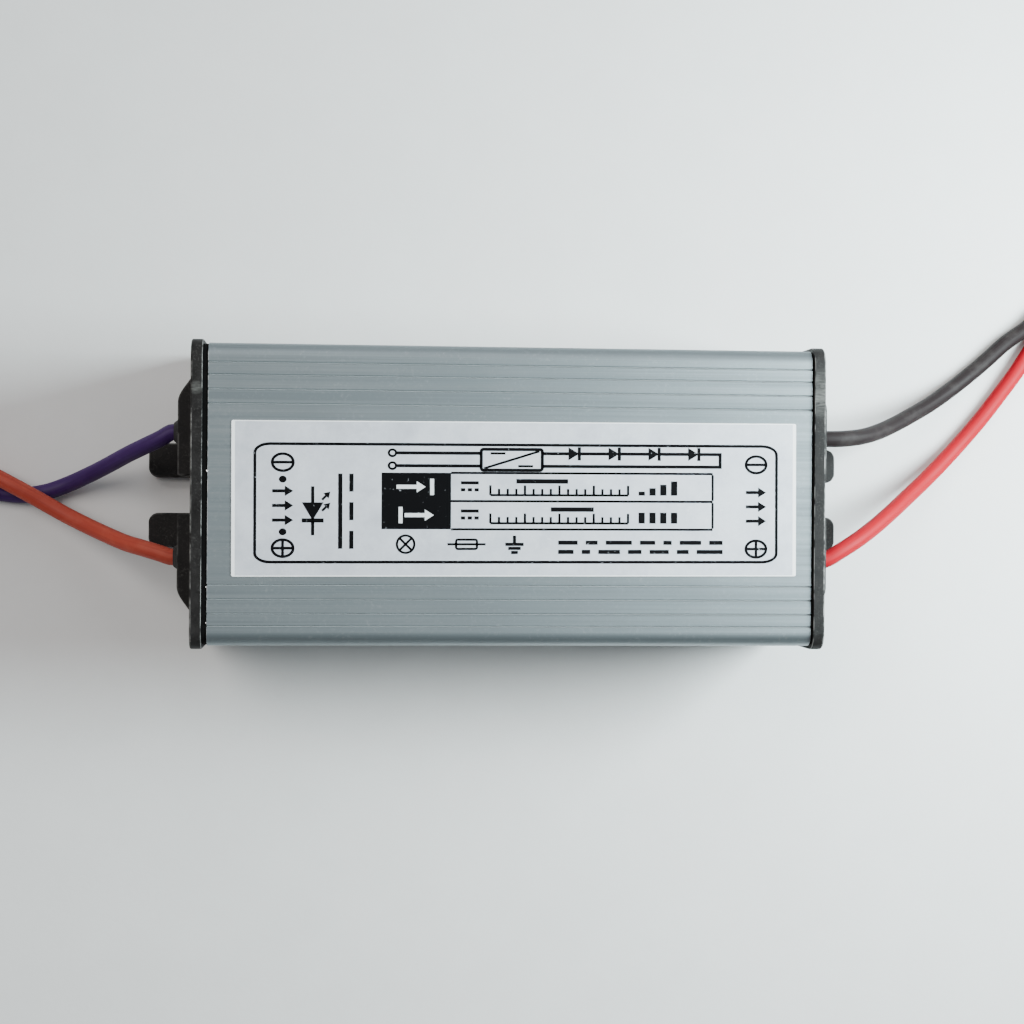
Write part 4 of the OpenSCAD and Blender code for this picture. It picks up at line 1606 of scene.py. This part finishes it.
@dataclass(frozen=True)
class Wiring:
    """The four leads, with each end's spare length in a tied coil.

    Attributes:
        input_coil: Coil of the input leads.
        output_coil: Coil of the output leads.
    """

    input_coil: LeadCoil = LeadCoil(End.INPUT, 0.058, 0.0185, math.radians(180))
    output_coil: LeadCoil = LeadCoil(End.OUTPUT, 0.0695, 0.034, math.radians(45))

    def leads(self) -> tuple[Lead, ...]:
        """Lists the leads with their routes.

        Returns:
            The four leads.
        """
        blue = (
            (0.0035, 0.0101, 0.0162), (0.007, 0.0085, 0.0144), (0.01, 0.0072, 0.0117),
            (0.014, 0.0053, 0.0077), (0.018, 0.0035, 0.0043), (0.022, 0.0018, 0.0022),
            (0.026, 0.0004, 0.0016), (0.03, -0.0002, 0.0016), (0.034, 0.0001, 0.0016),
            (0.038, 0.0009, 0.0019),
        )
        orange = (
            (0.0035, -0.0106, 0.0162), (0.007, -0.0096, 0.0149), (0.01, -0.0088, 0.0129),
            (0.014, -0.0073, 0.0098), (0.018, -0.0056, 0.0071), (0.022, -0.0037, 0.0054),
            (0.026, -0.0015, 0.0048), (0.029, 0.0002, 0.0048), (0.032, 0.0018, 0.0046),
            (0.035, 0.0033, 0.0036), (0.038, 0.0043, 0.0025),
        )
        black = (
            (0.005, 0.0113, 0.0162), (0.009, 0.0118, 0.0146), (0.013, 0.0129, 0.012),
            (0.017, 0.0145, 0.0092), (0.021, 0.0164, 0.0067), (0.025, 0.0185, 0.0046),
            (0.029, 0.021, 0.0028), (0.033, 0.0239, 0.0018), (0.037, 0.0272, 0.0016),
            (0.041, 0.0308, 0.0017),
        )
        red = (
            (0.0045, -0.0096, 0.0162), (0.008, -0.0076, 0.015), (0.012, -0.0051, 0.0127),
            (0.016, -0.0023, 0.0101), (0.02, 0.0007, 0.0074), (0.024, 0.0038, 0.005),
            (0.028, 0.0073, 0.0032), (0.032, 0.0112, 0.0019), (0.036, 0.0157, 0.0016),
            (0.04, 0.0208, 0.0016), (0.043, 0.0249, 0.0018),
        )
        return (
            Lead(End.INPUT, Pole.NEGATIVE, blue, self.input_coil, BLUE_LEAD, "blue_insulation"),
            Lead(End.INPUT, Pole.POSITIVE, orange, self.input_coil, ORANGE_LEAD, "orange_insulation"),
            Lead(End.OUTPUT, Pole.NEGATIVE, black, self.output_coil, BLACK_LEAD_WITH_RED_REFLECTION, "black_insulation"),
            Lead(End.OUTPUT, Pole.POSITIVE, red, self.output_coil, RED_LEAD, "red_insulation"),
        )

    def build(self) -> None:
        """Makes the leads and the ties."""
        for lead in self.leads():
            lead.build()
        for coil in (self.input_coil, self.output_coil):
            CoilTie(coil).build()


# Case


@dataclass(frozen=True)
class CaseExtrusion:
    """The extruded case, with the burrs that the saw left on its input end.

    Attributes:
        edge: Width of its softened edges.
        burrs: Y of each burr along the top of the input end.
        burr_size: Length of a burr.
        burr_shape: Its length, width and height as shares of that.
        burr_shrink: How much smaller each burr is than the one before, as a share.
        burr_sunk: How far a burr's middle lies past the edge, as a share of its length.
    """

    edge: float = 0.00012
    burrs: tuple[float, ...] = (0.0039, -0.0159, -0.022)
    burr_size: float = 0.00042
    burr_shape: Point = (0.9, 1.2, 0.45)
    burr_shrink: float = 0.15
    burr_sunk: float = 0.1

    def build(self) -> None:
        """Makes the extrusion and its burrs."""
        mesh = finished_mesh("case_extrusion", softened("housing", self.edge, ends_only=True))
        shade_evenly(new_piece("case_extrusion", mesh, ALUMINIUM, ("housing",)))
        self._burrs()

    def _burrs(self) -> None:
        """Makes the bright flakes that hang over the gasket at the input end."""
        low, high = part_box("housing")
        shape = bmesh.new()
        for i, y in enumerate(self.burrs):
            size = self.burr_size * (1.0 - self.burr_shrink * i)
            sunk = self.burr_sunk * size
            flake = bmesh.ops.create_icosphere(shape, subdivisions=1, radius=size / 2)["verts"]
            bmesh.ops.scale(shape, vec=self.burr_shape, verts=flake)
            bmesh.ops.rotate(shape, matrix=Matrix.Rotation(0.7 * i + 0.4, 3, "Z"), verts=flake)
            bmesh.ops.translate(shape, vec=(low.x - sunk, y, high.z - sunk), verts=flake)
        bright = MottledFinish(
            "bare_burr", dark=(0.8, 0.81, 0.82), light=(0.92, 0.92, 0.92), gloss=(0.2, 0.35),
            metallic=1.0,
        )
        new_piece("saw_burrs", finished_mesh("saw_burrs", shape, math.radians(10)), bright)


@dataclass(frozen=True)
class EndCap:
    """A moulded cap with its lead boss, forked foot and two rubber grommets.

    Attributes:
        end: Which end of the case it closes.
        edge: Width of its moulded edges.
        seam_edge: Width of its edge against the gasket.
        seam_wear_and_highlight: How much more its edge against the gasket is rubbed; the extra light colour
            there is wear and also a painted highlight line along the seam.
        low_wear: How much less its edges below the top are rubbed.
        grommet_edge: Width of the grommets' softened edges.
    """

    end: End
    edge: float = 0.00028
    seam_edge: float = 0.0001
    seam_wear_and_highlight: float = 1.7
    low_wear: float = 0.3
    grommet_edge: float = 0.0001

    def build(self) -> None:
        """Makes the cap and its grommets."""
        side = self.end.name.lower()
        node = f"{side}_end_cap"
        low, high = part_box(node)
        seam = high.x if self.end is End.INPUT else low.x
        shape = softened(node, self.edge, 3, seam=(seam, self.seam_edge))
        wear = shape.faces.layers.float[EDGE_WEAR]
        for face in shape.faces:
            middle = face.calc_center_median()
            # The edge against the gasket gets more rubbed colour: wear, and a painted highlight line along
            # the seam.
            if face[wear] and abs(middle.x - seam) < self.edge:
                face[wear] = self.seam_wear_and_highlight
            elif face[wear] and middle.z < high.z - 2 * self.edge:
                face[wear] = self.low_wear
        mesh = finished_mesh(node, shape)
        shade_evenly(new_piece(f"{node}_moulding", mesh, CAP_PLASTIC, (node,)))
        for pole in Pole:
            grommet = f"{side}_{pole.name.lower()}_grommet"
            mesh = finished_mesh(grommet, softened(grommet, self.grommet_edge))
            new_piece(f"{grommet}_collar", mesh, GROMMET_RUBBER, (grommet,))


@dataclass(frozen=True)
class CapScrews:
    """Eight countersunk screws with cross recesses, four in each cap.

    Attributes:
        face_x: Distance of the caps' faces from the middle.
        inset: Distance of a screw from the case's sides.
        head: Head radius.
        head_h: Head height.
        shank: Radius over the thread.
        length: Whole length.
        thread: Thread pitch.
        arm: Reach of the recess's arms.
        arm_half: Half the width of an arm.
        recess: Depth of the recess.
        recess_floor: Size of the recess's floor, as a share of its mouth.
        lip: Depth of the recess's lip, and its size as a share of the mouth.
        soft: Width of the head's rounded rim.
        thread_depth: Depth of the thread.
        neck: How far the shank draws in below the head.
        collar: Length of the shank between the head and the thread.
        tip: Radius of the tip as a share of the shank's, and the length of its taper.
    """

    face_x: float = 0.0551
    inset: float = 0.0044
    head: float = 0.0028
    head_h: float = 0.0015
    shank: float = 0.0015
    length: float = 0.010
    thread: float = 0.0005
    arm: float = 0.0015
    arm_half: float = 0.00042
    recess: float = 0.00105
    recess_floor: float = 0.35
    lip: Plan = (0.00006, 0.96)
    soft: float = 0.00012
    thread_depth: float = 0.00028
    neck: float = 0.0002
    collar: float = 0.0003
    tip: Plan = (0.45, 0.0016)

    def _cross(self) -> list[Vector]:
        """Gives the recess's outline, four arms of twelve points each.

        Returns:
            Points in the screw's own Y and Z.
        """
        a, w = self.arm, self.arm_half
        half = (a + w) / 2
        corners = ((a, -w), (a, 0.0), (a, w), (half, w), (w, w), (w, half), (w, a))
        quarter = [Vector(corner) for corner in corners]
        points: list[Vector] = []
        for k in range(4):
            turn = Matrix.Rotation(math.pi / 2 * k, 2)
            for start, stop in zip(quarter, quarter[1:]):
                points += [turn @ start, turn @ start.lerp(stop, 0.5)]
        return points

    def _screw(self) -> bpy.types.Mesh:
        """Models one screw that looks along X, with its head's face at the origin.

        Returns:
            Its mesh.
        """
        shape = bmesh.new()
        cross = self._cross()
        turns = [math.atan2(p.y, p.x) for p in cross]

        def crossed(x: float, share: float) -> list[bmesh.types.BMVert]:
            """Adds a ring in the recess's outline at a depth."""
            return [shape.verts.new((x, p.x * share, p.y * share)) for p in cross]

        def ring(x: float, radius: float) -> list[bmesh.types.BMVert]:
            """Adds a round ring at a depth."""
            return [shape.verts.new((x, radius * math.cos(t), radius * math.sin(t))) for t in turns]

        def threaded(x: float) -> list[bmesh.types.BMVert]:
            """Adds a ring of the thread.

            Args:
                x: Its depth.

            Returns:
                The ring's points.
            """
            share, length = self.tip
            taper = min(1.0, share + (x + self.length) / length)
            points = []
            for t in turns:
                phase = (x / self.thread + t / math.tau) % 1.0
                radius = (self.shank - self.thread_depth * abs(2 * phase - 1)) * taper
                points.append(shape.verts.new((x, radius * math.cos(t), radius * math.sin(t))))
            return points

        lip_depth, lip_share = self.lip
        rings = [crossed(-self.recess, self.recess_floor), crossed(-lip_depth, lip_share), crossed(0.0, 1.0)]
        rings += [
            ring(0.0, self.head - self.soft), ring(-self.soft * 0.4, self.head - self.soft * 0.3),
            ring(-self.soft, self.head), ring(-self.head_h, self.shank - self.neck),
        ]
        start, stop = -self.head_h - self.collar, -self.length
        count = round((start - stop) / (self.thread / 4))
        rings += [threaded(start + (stop - start) * i / count) for i in range(count + 1)]
        join_rings(shape, rings)
        shape.faces.new(rings[0])
        shape.faces.new(rings[-1])
        bmesh.ops.recalc_face_normals(shape, faces=shape.faces)
        return finished_mesh("cap_screw", shape)

    def _layout(self) -> LayoutTree:
        """Builds the tree that sets four screws in each cap, each turned its own way.

        Returns:
            The tree.
        """
        layout = LayoutTree("cap_screw_layout", {
            "Face X": "NodeSocketFloat", "Middle Z": "NodeSocketFloat",
            "Spread Y": "NodeSocketFloat", "Spread Z": "NodeSocketFloat",
        })
        sketch, given = layout.sketch, layout.given
        grid = sketch.add("GeometryNodeMeshGrid", {
            "Size X": given["Spread Z"], "Size Y": given["Spread Y"], "Vertices X": 2, "Vertices Y": 2,
        })
        corner = sketch.add("ShaderNodeCombineXYZ", {"X": given["Face X"], "Z": given["Middle Z"]})
        stood = sketch.add("GeometryNodeTransform", {
            "Geometry": grid.outputs["Mesh"], "Translation": corner.outputs[0],
            "Rotation": (0.0, math.pi / 2, 0.0),
        })
        laid = []
        for seed, about in ((3, 0.0), (8, math.pi)):
            turn = sketch.add(
                "FunctionNodeRandomValue", {0: (-math.pi, 0.0, 0.0), 1: (math.pi, 0.0, 0.0), "Seed": seed},
                data_type="FLOAT_VECTOR",
            )
            screws = sketch.add("GeometryNodeInstanceOnPoints", {
                "Points": stood.outputs[0], "Instance": given["Geometry"], "Rotation": turn.outputs[0],
            })
            faced = sketch.add("GeometryNodeTransform", {
                "Geometry": screws.outputs[0], "Rotation": (0.0, 0.0, about),
            })
            laid.append(faced.outputs[0])
        layout.close(laid)
        return layout

    def build(self) -> None:
        """Makes the eight screws as one piece."""
        low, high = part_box("housing")
        mesh = self._layout().run(
            self._screw(), SCREW_STEEL, Face_X=self.face_x, Middle_Z=(low.z + high.z) / 2,
            Spread_Y=high.y - low.y - 2 * self.inset, Spread_Z=high.z - low.z - 2 * self.inset,
        )
        mesh.transform(Matrix.Translation((-CAP_SHIFT, 0.0, 0.0)))
        new_piece("cap_screws", mesh, SCREW_STEEL, ("end_cap_screws",))


# Label


class PrintSheet:
    """Collects printed shapes, drawn in the label's own frame, as one thin raised mesh."""

    def __init__(self, middle: Vector, low: float, high: float) -> None:
        """Starts an empty sheet.

        Args:
            middle: Middle of the label in plan.
            low: Z of the underside of the ink.
            high: Z of its top.
        """
        self.shape = bmesh.new()
        self.middle = middle
        self.low = low
        self.high = high

    def at(self, point: Sequence[float]) -> Vector:
        """Places a point of the label's own frame on the case."""
        return self.middle + Matrix.Rotation(LABEL_TURN, 2) @ Vector(point)

    def area(self, *points: Sequence[float]) -> None:
        """Prints a filled outline, given anticlockwise."""
        add_prism(self.shape, [self.at(p) for p in points], self.low, self.high)

    def bar(self, start: Plan, stop: Plan, width: float) -> None:
        """Prints a straight line.

        Args:
            start: Its start.
            stop: Its end.
            width: Its width.
        """
        a, b = Vector(start), Vector(stop)
        side = (b - a).normalized().orthogonal() * width / 2
        self.area(a - side, b - side, b + side, a + side)

    def blob(self, centre: Plan, half: Plan) -> None:
        """Prints a filled round or oval spot."""
        self.area(*rounded_plan(Vector(centre), Vector(half), Vector(half)))

    def frame(self, centre: Plan, half: Plan, corner: Plan, width: float) -> None:
        """Prints the outline of a rectangle with round corners, or of an oval.

        Args:
            centre: Its middle.
            half: Half its width and height, over the middle of the line.
            corner: Reach of a corner along and across, over the middle of the line.
            width: Width of the line.
        """
        grow = Vector((width / 2, width / 2))
        outer = rounded_plan(Vector(centre), Vector(half) + grow, Vector(corner) + grow)
        inner = rounded_plan(Vector(centre), Vector(half) - grow, Vector(corner) - grow)
        add_band(self.shape, [self.at(p) for p in outer], [self.at(p) for p in inner], self.low, self.high)

    def arrow(self, tail: Plan, tip: Plan, width: float, head: float) -> None:
        """Prints an arrow.

        Args:
            tail: Where it starts.
            tip: Where it points.
            width: Width of its shaft.
            head: Width of its head.
        """
        a, b = Vector(tail), Vector(tip)
        along = (b - a).normalized()
        side = along.orthogonal()
        neck = b - along * head * 0.8
        self.area(
            a - side * width / 2, neck - side * width / 2, neck - side * head / 2, b,
            neck + side * head / 2, neck + side * width / 2, a + side * width / 2,
        )

    def diode(self, centre: Plan, along: Plan, size: float, width: float) -> None:
        """Prints a diode's circuit sign.

        Args:
            centre: Its middle.
            along: Way that it conducts, of unit length.
            size: Length of its triangle.
            width: Width of its bar.
        """
        at, way = Vector(centre), Vector(along)
        side = way.orthogonal() * size * 0.6
        tip, back = at + way * size / 2, at - way * size / 2
        self.area(back + side, back - side, tip)
        self.bar(tip - side, tip + side, width)

    def direct_current(self, corner: Plan, along: Plan, length: float, gap: float, width: float) -> None:
        """Prints the sign for direct current, a long bar beside three short ones.

        Args:
            corner: Start of the long bar.
            along: Way that the bars run, of unit length.
            length: Length of the long bar.
            gap: How far the short bars lie to the right of the long one.
            width: Width of the bars.
        """
        start, way = Vector(corner), Vector(along)
        self.bar(start, start + way * length, width)
        beside = start - way.orthogonal() * gap
        for k in range(3):
            self.bar(beside + way * length * 0.38 * k, beside + way * length * (0.38 * k + 0.24), width)

    def finish(self, name: str, finish: Finish) -> None:
        """Makes the sheet's piece.

        Args:
            name: Name of the piece.
            finish: Its ink.
        """
        bmesh.ops.recalc_face_normals(self.shape, faces=self.shape.faces)
        new_piece(name, finished_mesh(name, self.shape), finish)


@dataclass(frozen=True)
class RatingLabel:
    """The silver label on the top, with a plain print of circuit signs and scales.

    Attributes:
        corner: Corner radius of the film.
        line: Width of a printed line.
        bold: Width of a bold printed line.
        ink: How far the ink stands above the film.
        border: Middle of the printed border.
        border_half: Half the border's width and height.
        border_corner: Reach of the border's round corners, along and across.
        sign_half: Half the width and height of a polarity sign.
        table_left: Left side of the table.
        table_right: Right side of the table.
        table_top: Top of the table.
        row: Height of a table row.
        field_left: Left side of the dark field beside the table.
        tick: Distance between the ticks of a scale.
        sign_places: X of each end's polarity signs, with the Y of its minus and of its plus.
        dots: Y of the two dots between the input end's signs.
        dot_half: Half the width and height of a dot.
        arrow_rows: Y of the arrows in and out.
        foot: Y of the signs below the table.
    """

    corner: float = 0.0003
    line: float = 0.0004
    bold: float = 0.00056
    ink: float = 0.00002
    border: Plan = (0.00025, -0.00076)
    border_half: Plan = (0.04528, 0.01012)
    border_corner: Plan = (0.0026, 0.0015)
    sign_half: Plan = (0.0018, 0.00146)
    table_left: float = -0.0115
    table_right: float = 0.0342
    table_top: float = 0.0045
    row: float = 0.00486
    field_left: float = -0.02345
    tick: float = 0.0015
    sign_places: tuple[Point, ...] = ((-0.0403, 0.0062, -0.0085), (0.0419, 0.00615, -0.00858))
    dots: Plan = (0.0033, -0.0057)
    dot_half: Plan = (0.00066, 0.0006)
    arrow_rows: Point = (0.0013, -0.0012, -0.0037)
    foot: float = -0.0078

    def build(self) -> None:
        """Makes the film, the black print and the white print on its dark field."""
        low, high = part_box("rating_label")
        middle = ((low + high) / 2).to_2d()
        film = PrintSheet(middle, low.z, high.z)
        half = Vector((LABEL_LENGTH / 2, LABEL_WIDTH / 2))
        film.area(*rounded_plan(Vector((0.0, 0.0)), half, Vector((self.corner, self.corner)), 4))
        mesh = finished_mesh("rating_label_film", film.shape)
        new_piece("rating_label_film", mesh, LABEL_FILM, ("rating_label",))
        black = PrintSheet(middle, high.z - self.ink, high.z + self.ink)
        black.frame(self.border, self.border_half, self.border_corner, self.line * 1.25)
        self._polarity(black)
        self._side_signs(black)
        self._diagram(black)
        self._table(black)
        self._foot(black)
        black.finish("label_black_print", BLACK_INK)
        white = PrintSheet(middle, high.z + self.ink / 2, high.z + self.ink * 2)
        self._field_signs(white)
        white.finish("label_white_print", WHITE_INK)

    def _polarity(self, sheet: PrintSheet) -> None:
        """Prints a minus and a plus in ovals at each end, and two dots at the input end.

        Args:
            sheet: The sheet to print on.
        """
        reach = Vector(self.sign_half)
        line = self.line * 1.2
        inside = reach.y - line / 2
        for x, above, below in self.sign_places:
            for y in (above, below):
                sheet.frame((x, y), self.sign_half, self.sign_half, line)
                sheet.bar((x - reach.x + line / 3, y), (x + reach.x - line / 3, y), line)
            sheet.bar((x, below - inside), (x, below - line / 2), line)
            sheet.bar((x, below + line / 2), (x, below + inside), line)
        for y in self.dots:
            sheet.blob((self.sign_places[0][0], y), self.dot_half)

    def _side_signs(self, sheet: PrintSheet) -> None:
        """Prints the arrows in and out, a light-emitting diode and the direct current sign.

        Args:
            sheet: The sheet to print on.
        """
        length, head = 0.0036, 0.0018
        for y in self.arrow_rows:
            for tail in (-0.0421, 0.0401):
                sheet.arrow((tail, y), (tail + length, y), self.bold, head)
        diode, heavy = -0.0352, self.bold * 1.3
        sheet.bar((diode, 0.0021), (diode, -0.00065), self.bold)
        sheet.bar((diode, -0.0039), (diode, -0.0063), self.bold)
        sheet.diode((diode, -0.0022), (0.0, -1.0), 0.0031, heavy)
        for y in (-0.0002, -0.0021):
            sheet.arrow((-0.0336, y), (-0.0322, y + 0.0014), self.line, 0.0013)
        sheet.direct_current((-0.0305, 0.0043), (0.0, -1.0), 0.0129, -0.0019, heavy)

    def _diagram(self, sheet: PrintSheet) -> None:
        """Prints a wiring diagram along the top: terminals, converter and a chain of diodes.

        Args:
            sheet: The sheet to print on.
        """
        high, low = 0.0079, 0.0057
        left, right = 0.0043, 0.0358
        terminal, half, edge = (0.00062, 0.00056), 0.00095, self.bold / 2
        for y in (high, low):
            sheet.frame((-0.0216, y), terminal, terminal, self.line)
            sheet.bar((-0.0209, y), (-0.0063, y), self.bold)
        sheet.frame((-0.001, 0.0068), (0.0053, 0.0018), (0.0004, 0.0004), self.bold)
        sheet.bar((-0.0058, 0.0053), (0.0038, 0.0083), self.line)
        sheet.bar((-0.0047, high), (-0.0021, high), self.line)
        sheet.bar((0.0001, low), (0.0027, low), self.line)
        stops = [left]
        for x in (0.0098, 0.0168, 0.0238, 0.0308):
            sheet.diode((x, high), (1.0, 0.0), 2 * half, self.bold)
            stops += [x - half, x + half + edge]
        for start, stop in zip(stops[::2], [*stops[1::2], right]):
            sheet.bar((start, high), (stop, high), self.bold)
        sheet.bar((left, low), (right, low), self.bold)
        sheet.bar((right - edge, low + edge), (right - edge, high - edge), self.bold)

    def _table(self, sheet: PrintSheet) -> None:
        """Prints the table's lines, its dark field, and a scale and bars in each row.

        Args:
            sheet: The sheet to print on.
        """
        left, right, top, half = self.table_left, self.table_right, self.table_top, self.line / 2
        bottom = top - 2 * self.row
        sheet.area((self.field_left, bottom), (left, bottom), (left, top), (self.field_left, top))
        for k in range(3):
            y = top - k * self.row
            sheet.bar((left, y), (right, y), self.line)
            if k:
                sheet.bar((right, y + half), (right, y + self.row - half), self.line)
        layout = self._tick_layout()
        zero = left + 0.0068
        for k, (first, last, rises) in enumerate(((3, 9, 0.0006), (7, 12, 0.0))):
            y = top - k * self.row - 0.0038
            mark = y + 0.0024
            sheet.direct_current((left + 0.0017, y + 0.0021), (1.0, 0.0), 0.0031, 0.0012, self.bold)
            sheet.bar((zero, y), (zero + 16 * self.tick, y), self.line)
            self._ticks(sheet, layout, (zero, y), 17, self.tick, 0.0011)
            self._ticks(sheet, layout, (zero, y), 5, 4 * self.tick, 0.0017)
            sheet.bar((zero + first * self.tick, mark), (zero + last * self.tick, mark), self.bold * 1.4)
            for bar in range(4):
                x = zero + 17.6 * self.tick + 0.0019 * bar
                height = 0.0019 + rises * (bar - 2)
                sheet.bar((x, y), (x, y + height), self.bold * 2)

    @staticmethod
    def _tick_layout() -> LayoutTree:
        """Builds the tree that repeats a tick along a scale.

        Returns:
            The tree.
        """
        layout = LayoutTree("label_tick_row", {
            "Count": "NodeSocketInt", "Start": "NodeSocketVector", "Step": "NodeSocketVector",
        })
        sketch, given = layout.sketch, layout.given
        points = sketch.add("GeometryNodeMeshLine", {
            "Count": given["Count"], "Start Location": given["Start"], "Offset": given["Step"],
        })
        ticks = sketch.add("GeometryNodeInstanceOnPoints", {
            "Points": points.outputs[0], "Instance": given["Geometry"],
        })
        layout.close([ticks.outputs[0]])
        return layout

    def _ticks(
        self, sheet: PrintSheet, layout: LayoutTree, start: Plan, count: int, pitch: float, height: float
    ) -> None:
        """Prints a row of ticks that stand on a scale's line.

        Args:
            sheet: The sheet to print on.
            layout: The tree that repeats a tick.
            start: Foot of the first tick.
            count: Number of ticks.
            pitch: Distance between ticks.
            height: Height of a tick.
        """
        mark = PrintSheet(Vector((0.0, 0.0)), sheet.low, sheet.high)
        mark.bar((0.0, 0.0), (0.0, height), self.line)
        row = layout.run(
            finished_mesh("tick", mark.shape), BLACK_INK, Count=count, Start=sheet.at(start).to_3d(),
            Step=mark.at((pitch, 0.0)).to_3d(),
        )
        sheet.shape.from_mesh(row)
        bpy.data.meshes.remove(row)

    def _foot(self, sheet: PrintSheet) -> None:
        """Prints the signs of a lamp, a fuse and an earth below the table, and rows of short dashes.

        Args:
            sheet: The sheet to print on.
        """
        lamp, fuse, earth, y = -0.0193, -0.0088, -0.0005, self.foot
        reach, wire, stem, gap = 0.0015, 0.0033, 0.0015, 0.0014
        sheet.frame((lamp, y), (reach, reach), (reach, reach), self.line)
        slant = (reach - self.line / 3) * math.sqrt(0.5)
        for way in (1, -1):
            sheet.bar((lamp - slant, y - way * slant), (lamp + slant, y + way * slant), self.line)
        sheet.frame((fuse, y), (0.0018, 0.0008), (0.0003, 0.0003), self.line)
        sheet.bar((fuse - wire, y), (fuse + wire, y), self.line)
        sheet.bar((earth, y + stem), (earth, y + self.bold / 2), self.bold)
        for k in range(3):
            half, below = 0.0016 - 0.0005 * k, y - 0.0007 * k
            sheet.bar((earth - half, below), (earth + half, below), self.bold)
        lengths = (0.0034, 0.0021, 0.0046, 0.0027, 0.0015, 0.0038, 0.0024)
        for row, below in enumerate((y + 0.0003, y - 0.0013)):
            x = 0.0071
            for k in range(len(lengths)):
                length = lengths[(k + 3 * row) % len(lengths)]
                sheet.bar((x, below), (x + length, below), self.bold * 1.3)
                x += length + gap

    def _field_signs(self, sheet: PrintSheet) -> None:
        """Prints an arrow into a bar and an arrow out of one on the dark field.

        Args:
            sheet: The sheet to print on.
        """
        middle = (self.field_left + self.table_left) / 2
        out, half, gap, back = 0.0027, 0.0014, 0.0007, 0.0034
        length, head, line = 0.005, 0.0019, self.bold * 1.2
        for row, way in enumerate((1, -1)):
            y = self.table_top - (row + 0.5) * self.row
            stop = middle + way * out
            sheet.bar((stop, y - half), (stop, y + half), line)
            tail = middle - back if way > 0 else stop + gap
            sheet.arrow((tail, y), (tail + length, y), line, head)


# Parts inside the case


@dataclass(frozen=True)
class CircuitInside:
    """The board, its parts and the gaskets, which keep their CAD shapes."""

    def build(self) -> None:
        """Gives each node its finish."""
        for finish, names in INSIDE_FINISHES.items():
            for name in names:
                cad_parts[name].material_slots[0].material = finish.material()
                LOG.info("%s: %s", name, finish.name)


def main() -> None:
    """Builds the camera and the leads, then the case, its label, its inside and the studio."""
    logging.basicConfig(level=logging.INFO, format="%(message)s")
    assemblies = (
        PhotoCamera(), Wiring(), CaseExtrusion(), EndCap(End.INPUT), EndCap(End.OUTPUT), CapScrews(),
        RatingLabel(), CircuitInside(), Studio(),
    )
    for assembly in assemblies:
        LOG.info("building %s", type(assembly).__name__)
        assembly.build()


if __name__ == "__main__":
    main()
